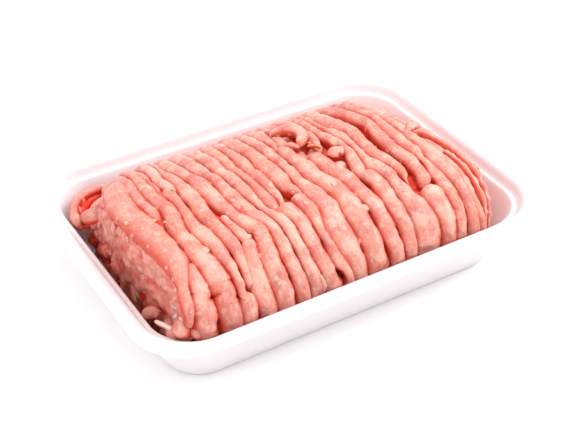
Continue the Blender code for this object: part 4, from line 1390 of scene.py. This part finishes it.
@dataclass
class LoosePieces:
    """Strands and torn bits that lie beside the loaf or on it."""

    def build(self) -> list[bpy.types.Object]:
        """Builds the corner strand, the torn lump and the torn curl."""
        sweep = StrandSweep(ring=14, lumps=0.3, lump_length=3.5, seed=9)
        corner = (
            Scrap(((-55.5, 49.8, 23.5), (-63.3, 49.8, 25.2), (-69.6, 48.0, 25.8), (-74.9, 44.8, 26.0), (-78.4, 39.8, 26.0), (-80.0, 34.4, 25.6), (-79.6, 30.6, 23.8)), (2.0, 2.3, 2.1, 2.4, 2.2, 2.4, 1.8), False, tone=0.25),
            # Two small bumps on the strand's inner side get the palest tone: partly pale fat, partly a painted
            # highlight.
            Scrap(((-72.0, 47.6, 26.4), (-72.6, 45.4, 26.0), (-72.0, 43.4, 23.6)), (1.2, 1.5, 1.1), False, tone=1.0),
            Scrap(((-78.0, 42.0, 26.6), (-76.4, 39.6, 25.6), (-76.0, 38.0, 23.6)), (1.0, 1.4, 1.0), False, tone=0.95),
            Scrap(((-78.4, 38.0, 22.4), (-79.2, 34.0, 22.6), (-78.8, 31.0, 22.4)), (1.6, 1.9, 1.5), False, tone=0.2),
        )
        # Pieces in the shaded hollow behind the corner strand and a slit at the front left, coloured with the painted
        # red glow.
        hollow = (
            Scrap(((-56, 48, 20), (-63, 48.4, 21), (-70, 45.6, 22), (-75.0, 40.4, 22.8), (-76.8, 34, 23.2), (-76, 30, 23.0)), (3.4, 3.6, 3.2, 2.8, 2.4, 1.8), False, tone=0.1),
            Scrap(((-58, 44, 17), (-64, 43, 18), (-69.0, 41, 19.5), (-72.5, 37.5, 21.0)), (4.2, 4.4, 3.8, 2.6), False, tone=0.0),
            Scrap(((-54, 44.5, 25), (-59, 43.0, 24.0), (-64, 40.0, 22.0), (-69.0, 35, 19.5)), (3.2, 3.6, 3.6, 3.0), False, tone=0.0),
            Scrap(((-71.0, -50.4, 30.2), (-73.0, -49.4, 29.8), (-74.8, -49.2, 28.6)), (1.5, 1.8, 1.4), False, tone=0.0),
        )
        lobes = (
            Scrap(((-72.0, 25.5, 31.0), (-74.4, 27.6, 29.6), (-76.0, 30.0, 27.8), (-76.8, 32.2, 26.2)), (3.0, 3.6, 3.4, 2.4), False, 0.7, tone=0.5, blunt=0.5),
            Scrap(((-70, 26, 31), (-73.4, 27.4, 27.0), (-74.6, 28.0, 23.4)), (3.4, 3.2, 2.4), False, 0.7, tone=0.3, blunt=0.5),
            Scrap(((-70.0, 35.0, 14.5), (-72.4, 36.6, 12.0), (-72.8, 37.8, 8.0)), (2.4, 2.6, 2.2), False, 0.8, tone=0.3),
        )
        lump = (
            Scrap(((-74.0, -50.2, 29.2), (-76.1, -52.6, 29.6), (-78.2, -54.6, 28.2)), (3.2, 3.8, 3.2), False, 0.7, tone=1.0, blunt=0.35),
            Scrap(((-76.6, -44.2, 24.2), (-77.4, -47.2, 24.8), (-78.4, -50.4, 23.6)), (2.2, 2.8, 2.4), False, 0.7, tone=0.55),
            Scrap(((-73.0, -54.0, 28.0), (-71.2, -55.6, 28.8), (-68.2, -56.8, 28.0)), (2.8, 3.2, 2.6), False, 0.8, tone=0.7),
        )
        torn = (
            Scrap(((-71.0, -50.4, 30.4), (-69.4, -53.2, 30.6), (-67.6, -55.4, 29.4)), (1.5, 2.0, 1.5), False, 0.7, tone=0.9),
            Scrap(((-72.8, -44.4, 30.6), (-71.6, -47.2, 30.0), (-69.4, -49.6, 29.6)), (1.6, 1.8, 1.3), False, 0.7, tone=0.6),
        )
        low = (
            Scrap(((-78.6, -27.8, 17.6), (-77.8, -27.2, 19.6), (-76.0, -28.6, 20.2), (-74.6, -31.0, 19.8)), (2.0, 2.6, 2.6, 1.9), False, 0.75, tone=0.5, blunt=0.5),
            Scrap(((-70.2, -38, 15), (-72.8, -39, 16), (-74.4, -41, 14)), (3.2, 3.0, 2.2), False, tone=0.4),
            Scrap(((-72.6, -36, 20.5), (-74.6, -39.0, 20.0), (-75.4, -42.4, 18.6)), (2.4, 2.6, 2.0), False, tone=0.3),
        )
        sliver = (Scrap(((-77.4, -47.6, 26.4), (-78.6, -44.6, 26.4), (-79.6, -41.6, 26.0), (-80.2, -39.0, 25.6)), (1.1, 1.1, 0.9, 0.6), False, 0.9, tone=1.0, blunt=0.4),)
        edge = (
            Scrap(((10.4, 74.6, 0.2), (12.0, 73.4, 0.6), (13.8, 72.4, 0.3), (15.0, 71.4, -0.6)), (0.7, 0.9, 0.8, 0.5), tone=0.4),
            Scrap(((11.4, 75.8, 0.9), (12.6, 74.8, 1.0)), (0.7, 0.6), tone=0.7),
        )
        made = [
            sweep.build([scrap.guide() for scrap in corner], "corner_strand_bits", LEAN_STRANDS, "corner_strand"),
            sweep.build([scrap.guide() for scrap in hollow], "hollow_painted_glow", HOLLOW_PAINTED_GLOW),
            sweep.build([scrap.guide() for scrap in lobes], "end_lobes", SHEARED),
            sweep.build([scrap.guide() for scrap in lump], "torn_lump_bits", LEAN_STRANDS, "torn_lump"),
            sweep.build([scrap.guide() for scrap in torn], "torn_ends", LEAN_STRANDS),
            sweep.build([scrap.guide() for scrap in low], "low_chunks", SHEARED),
            sweep.build([scrap.guide() for scrap in sliver], "fat_sliver", PALE_FAT_AND_GLINT),
            sweep.build([scrap.guide() for scrap in SCRAPS], "torn_curl", LEAN_STRANDS),
            StrandSweep(ring=10, lumps=0.35, lump_length=1.6, grain=0.05, seed=3).build([scrap.guide() for scrap in edge + RAGGED_EDGE], "torn_edge", SINEW),
            StrandSweep(ring=14, lumps=0.6, lump_length=2.6, seed=8).build([scrap.guide() for scrap in RAGGED], "ragged_strands", LEAN_STRANDS),
        ]
        return made


@dataclass
class FatFlecks:
    """Specks of pork fat set flush into the strands: a few large ones and many small ones.

    Attributes:
        large: The large ones: x, arc length and half width.
        count: How many small ones.
        seed: Fixes the small ones.
    """

    large: tuple[tuple[float, float, float], ...] = (
        (-74.4, 70.0, 2.3), (-71.8, 59.2, 1.7), (-69.4, 52.3, 2.2), (-58.1, 36.8, 3.0), (-57.4, 31.9, 1.8), (-65.6, 64.5, 1.6),
        (-40.2, 35.2, 1.9), (-38.8, 26.2, 1.9), (-34.0, 30.5, 2.0), (-37.3, 15.6, 1.7), (-36.6, 13.4, 1.6), (-46.5, 44.7, 1.8),
        (-10.9, 40.7, 1.7), (-7.3, 27.2, 2.1), (4.9, 46.0, 1.8), (9.5, 30.0, 2.6), (4.0, 8.5, 1.5), (-34, 57, 1.7), (-62.3, 60.2, 1.3),
    )
    count: int = 110
    seed: int = 21

    def crown(self, x: float, s: float) -> float:
        """Height of the strands' crowns over the loaf's form at a place."""
        best = -1.6
        for strand in STRANDS.values():
            left, right = strand.left.at(s), strand.right.at(s)
            if strand.start <= s <= strand.stop and left < x < right:
                half = (right - left) / 2
                off = min(abs(x - (left + right) / 2) / half, 1.0)
                best = max(best, strand.rise + rim_swell(s) - strand.tall(half) * (1 - math.sqrt(1 - off**2)))
        return float(best)

    def speck(self, x: float, s: float, size: float, turn: float) -> dict[str, np.ndarray]:
        """One speck: a short, flat, pointed piece that lies in the strand's crown.

        Args:
            x: Its place along the tray.
            s: Its arc length.
            size: Its half width.
            turn: The direction it points in.

        Returns:
            Its guide.
        """
        step_x, step_s = size * 0.75 * math.sin(turn), size * 0.75 * math.cos(turn)
        lift = self.crown(x, s) - 0.16 * size
        route = tuple((x + k * step_x, s + k * step_s, lift) for k in (-1, 0, 1))
        return Scrap(route, (size * 0.6, size * 0.85, size * 0.5), flatness=0.28, tone=0.5).guide()

    def build(self) -> bpy.types.Object:
        """Builds all the specks as one piece."""
        chance = np.random.default_rng(self.seed)
        specks = [self.speck(x, s, size, chance.uniform(0, math.pi)) for x, s, size in self.large]
        specks.append(Scrap(((-19.0, 2.5, 0.4), (-18.6, 6.0, 0.9), (-19.4, 9.5, 0.5), (-20.6, 12.0, -0.2)), (0.8, 1.2, 1.0, 0.5), flatness=0.7).guide())
        names = list(STRANDS)
        for _ in range(self.count):
            strand = STRANDS[names[chance.integers(len(names))]]
            s = chance.uniform(max(strand.start, -4) + 3, min(strand.stop, 115) - 3)
            left, right = float(strand.left.at(s) + strand.left.opening(s) / 2), float(strand.right.at(s) - strand.right.opening(s) / 2)
            x = (left + right) / 2 + (right - left) / 2 * chance.uniform(-0.6, 0.6)
            size = 0.35 + 0.22 * chance.exponential()
            specks.append(self.speck(x, s, min(size, 1.4), chance.normal(0, 0.8)))
        return StrandSweep(ring=8, lumps=0.1, lump_length=1.2, grain=0.03, seed=6).build(specks, "fat_flecks", FAT)


# ---------------------------------------------------------------------------------------------
# Studio
# ---------------------------------------------------------------------------------------------


@dataclass
class Studio:
    """A pale floor, soft lights and the camera."""

    target: tuple[float, float, float] = (10.2, 18.7, 0.0)
    azimuth: float = -31.2
    elevation: float = 37.0
    distance: float = 556.0
    lens: float = 79.4
    sky: str = "FFFFFF"

    def floor(self) -> None:
        """Lays the floor."""
        size = 3000.0
        obj = mesh_object("floor", np.array([(-size, -size, 0), (size, -size, 0), (size, size, 0), (-size, size, 0)]), [(0, 1, 2, 3)])
        material = bpy.data.materials.new("white_paper_sweep")
        material.use_nodes = True
        shader = material.node_tree.nodes["Principled BSDF"]
        shader.inputs["Base Color"].default_value = (0.97, 0.97, 0.97, 1.0)
        shader.inputs["Roughness"].default_value = 0.9
        obj.data.materials.append(material)
        obj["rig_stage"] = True

    def lamp(self, name: str, place: tuple[float, float, float], size: float, power: float) -> None:
        """Hangs a soft square light that faces the object.

        Args:
            name: Its name.
            place: Its place, mm.
            size: Its side, mm.
            power: Its power, watts.
        """
        data = bpy.data.lights.new(name, "AREA")
        data.size = size * MM
        data.energy = power
        obj = bpy.data.objects.new(name, data)
        obj.location = Vector(place) * MM
        obj.rotation_euler = (-Vector(place)).to_track_quat("-Z", "Y").to_euler()
        bpy.context.scene.collection.objects.link(obj)
        obj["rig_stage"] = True

    def light(self) -> None:
        """Lights the scene: a white surround, a large top light, a soft key from the right front and weak fills from
        the front and the left.
        """
        world = bpy.data.worlds.new("white_surround")
        world.use_nodes = True
        world.node_tree.nodes["Background"].inputs["Color"].default_value = linear(self.sky)
        world.node_tree.nodes["Background"].inputs["Strength"].default_value = 0.95
        bpy.context.scene.world = world
        self.lamp("top_light", (150, 200, 900), 600, 4.0)
        self.lamp("key_light", (700, -200, 650), 600, 5.6)
        self.lamp("front_fill", (-350, -600, 500), 500, 0.5)
        self.lamp("left_fill", (-700, 60, 330), 500, 1.0)

    def camera(self) -> None:
        """Places the camera."""
        data = bpy.data.cameras.new("camera")
        data.lens = self.lens
        data.sensor_width = 36.0
        obj = bpy.data.objects.new("camera", data)
        a, e = math.radians(self.azimuth), math.radians(self.elevation)
        back = Vector((math.sin(a) * math.cos(e), -math.cos(a) * math.cos(e), math.sin(e)))
        obj.location = (Vector(self.target) + back * self.distance) * MM
        obj.rotation_mode = "QUATERNION"
        obj.rotation_quaternion = (-back).to_track_quat("-Z", "Y")
        data.clip_start, data.clip_end = 0.01, 20.0
        bpy.context.scene.collection.objects.link(obj)
        bpy.context.scene.camera = obj
        bpy.context.scene.view_settings.view_transform = "Standard"

    def build(self) -> None:
        """Sets up floor, lights and camera."""
        self.floor()
        self.light()
        self.camera()


def clear_startup() -> None:
    """Removes what a new file holds, and leaves the frame."""
    for name in ("Cube", "Light", "Camera"):
        obj = bpy.data.objects.get(name)
        if obj is not None and "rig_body" not in obj:
            bpy.data.objects.remove(obj)


def main() -> None:
    """Builds the tray, the meat and the studio."""
    logging.basicConfig(level=logging.INFO, format="%(message)s")
    clear_startup()
    TRAY.build()
    LoafCore().build()
    ShearedEnd().build()
    names = list(STRANDS)
    third = math.ceil(len(names) / 3)
    for index, label in enumerate(("left", "middle", "right")):
        chosen = names[index * third : (index + 1) * third]
        StrandSweep().build([STRANDS[name].guide(PRESS) for name in chosen], f"strands_{label}", LEAN_STRANDS)
    LoosePieces().build()
    FatFlecks().build()
    Studio().build()
    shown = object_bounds()
    boxes = {"cad": [list(corner) for corner in CAD_BOX], "visual": [list(corner) for corner in shown]}
    logging.info("visual model %s", boxes["visual"])


if __name__ == "__main__":
    main()
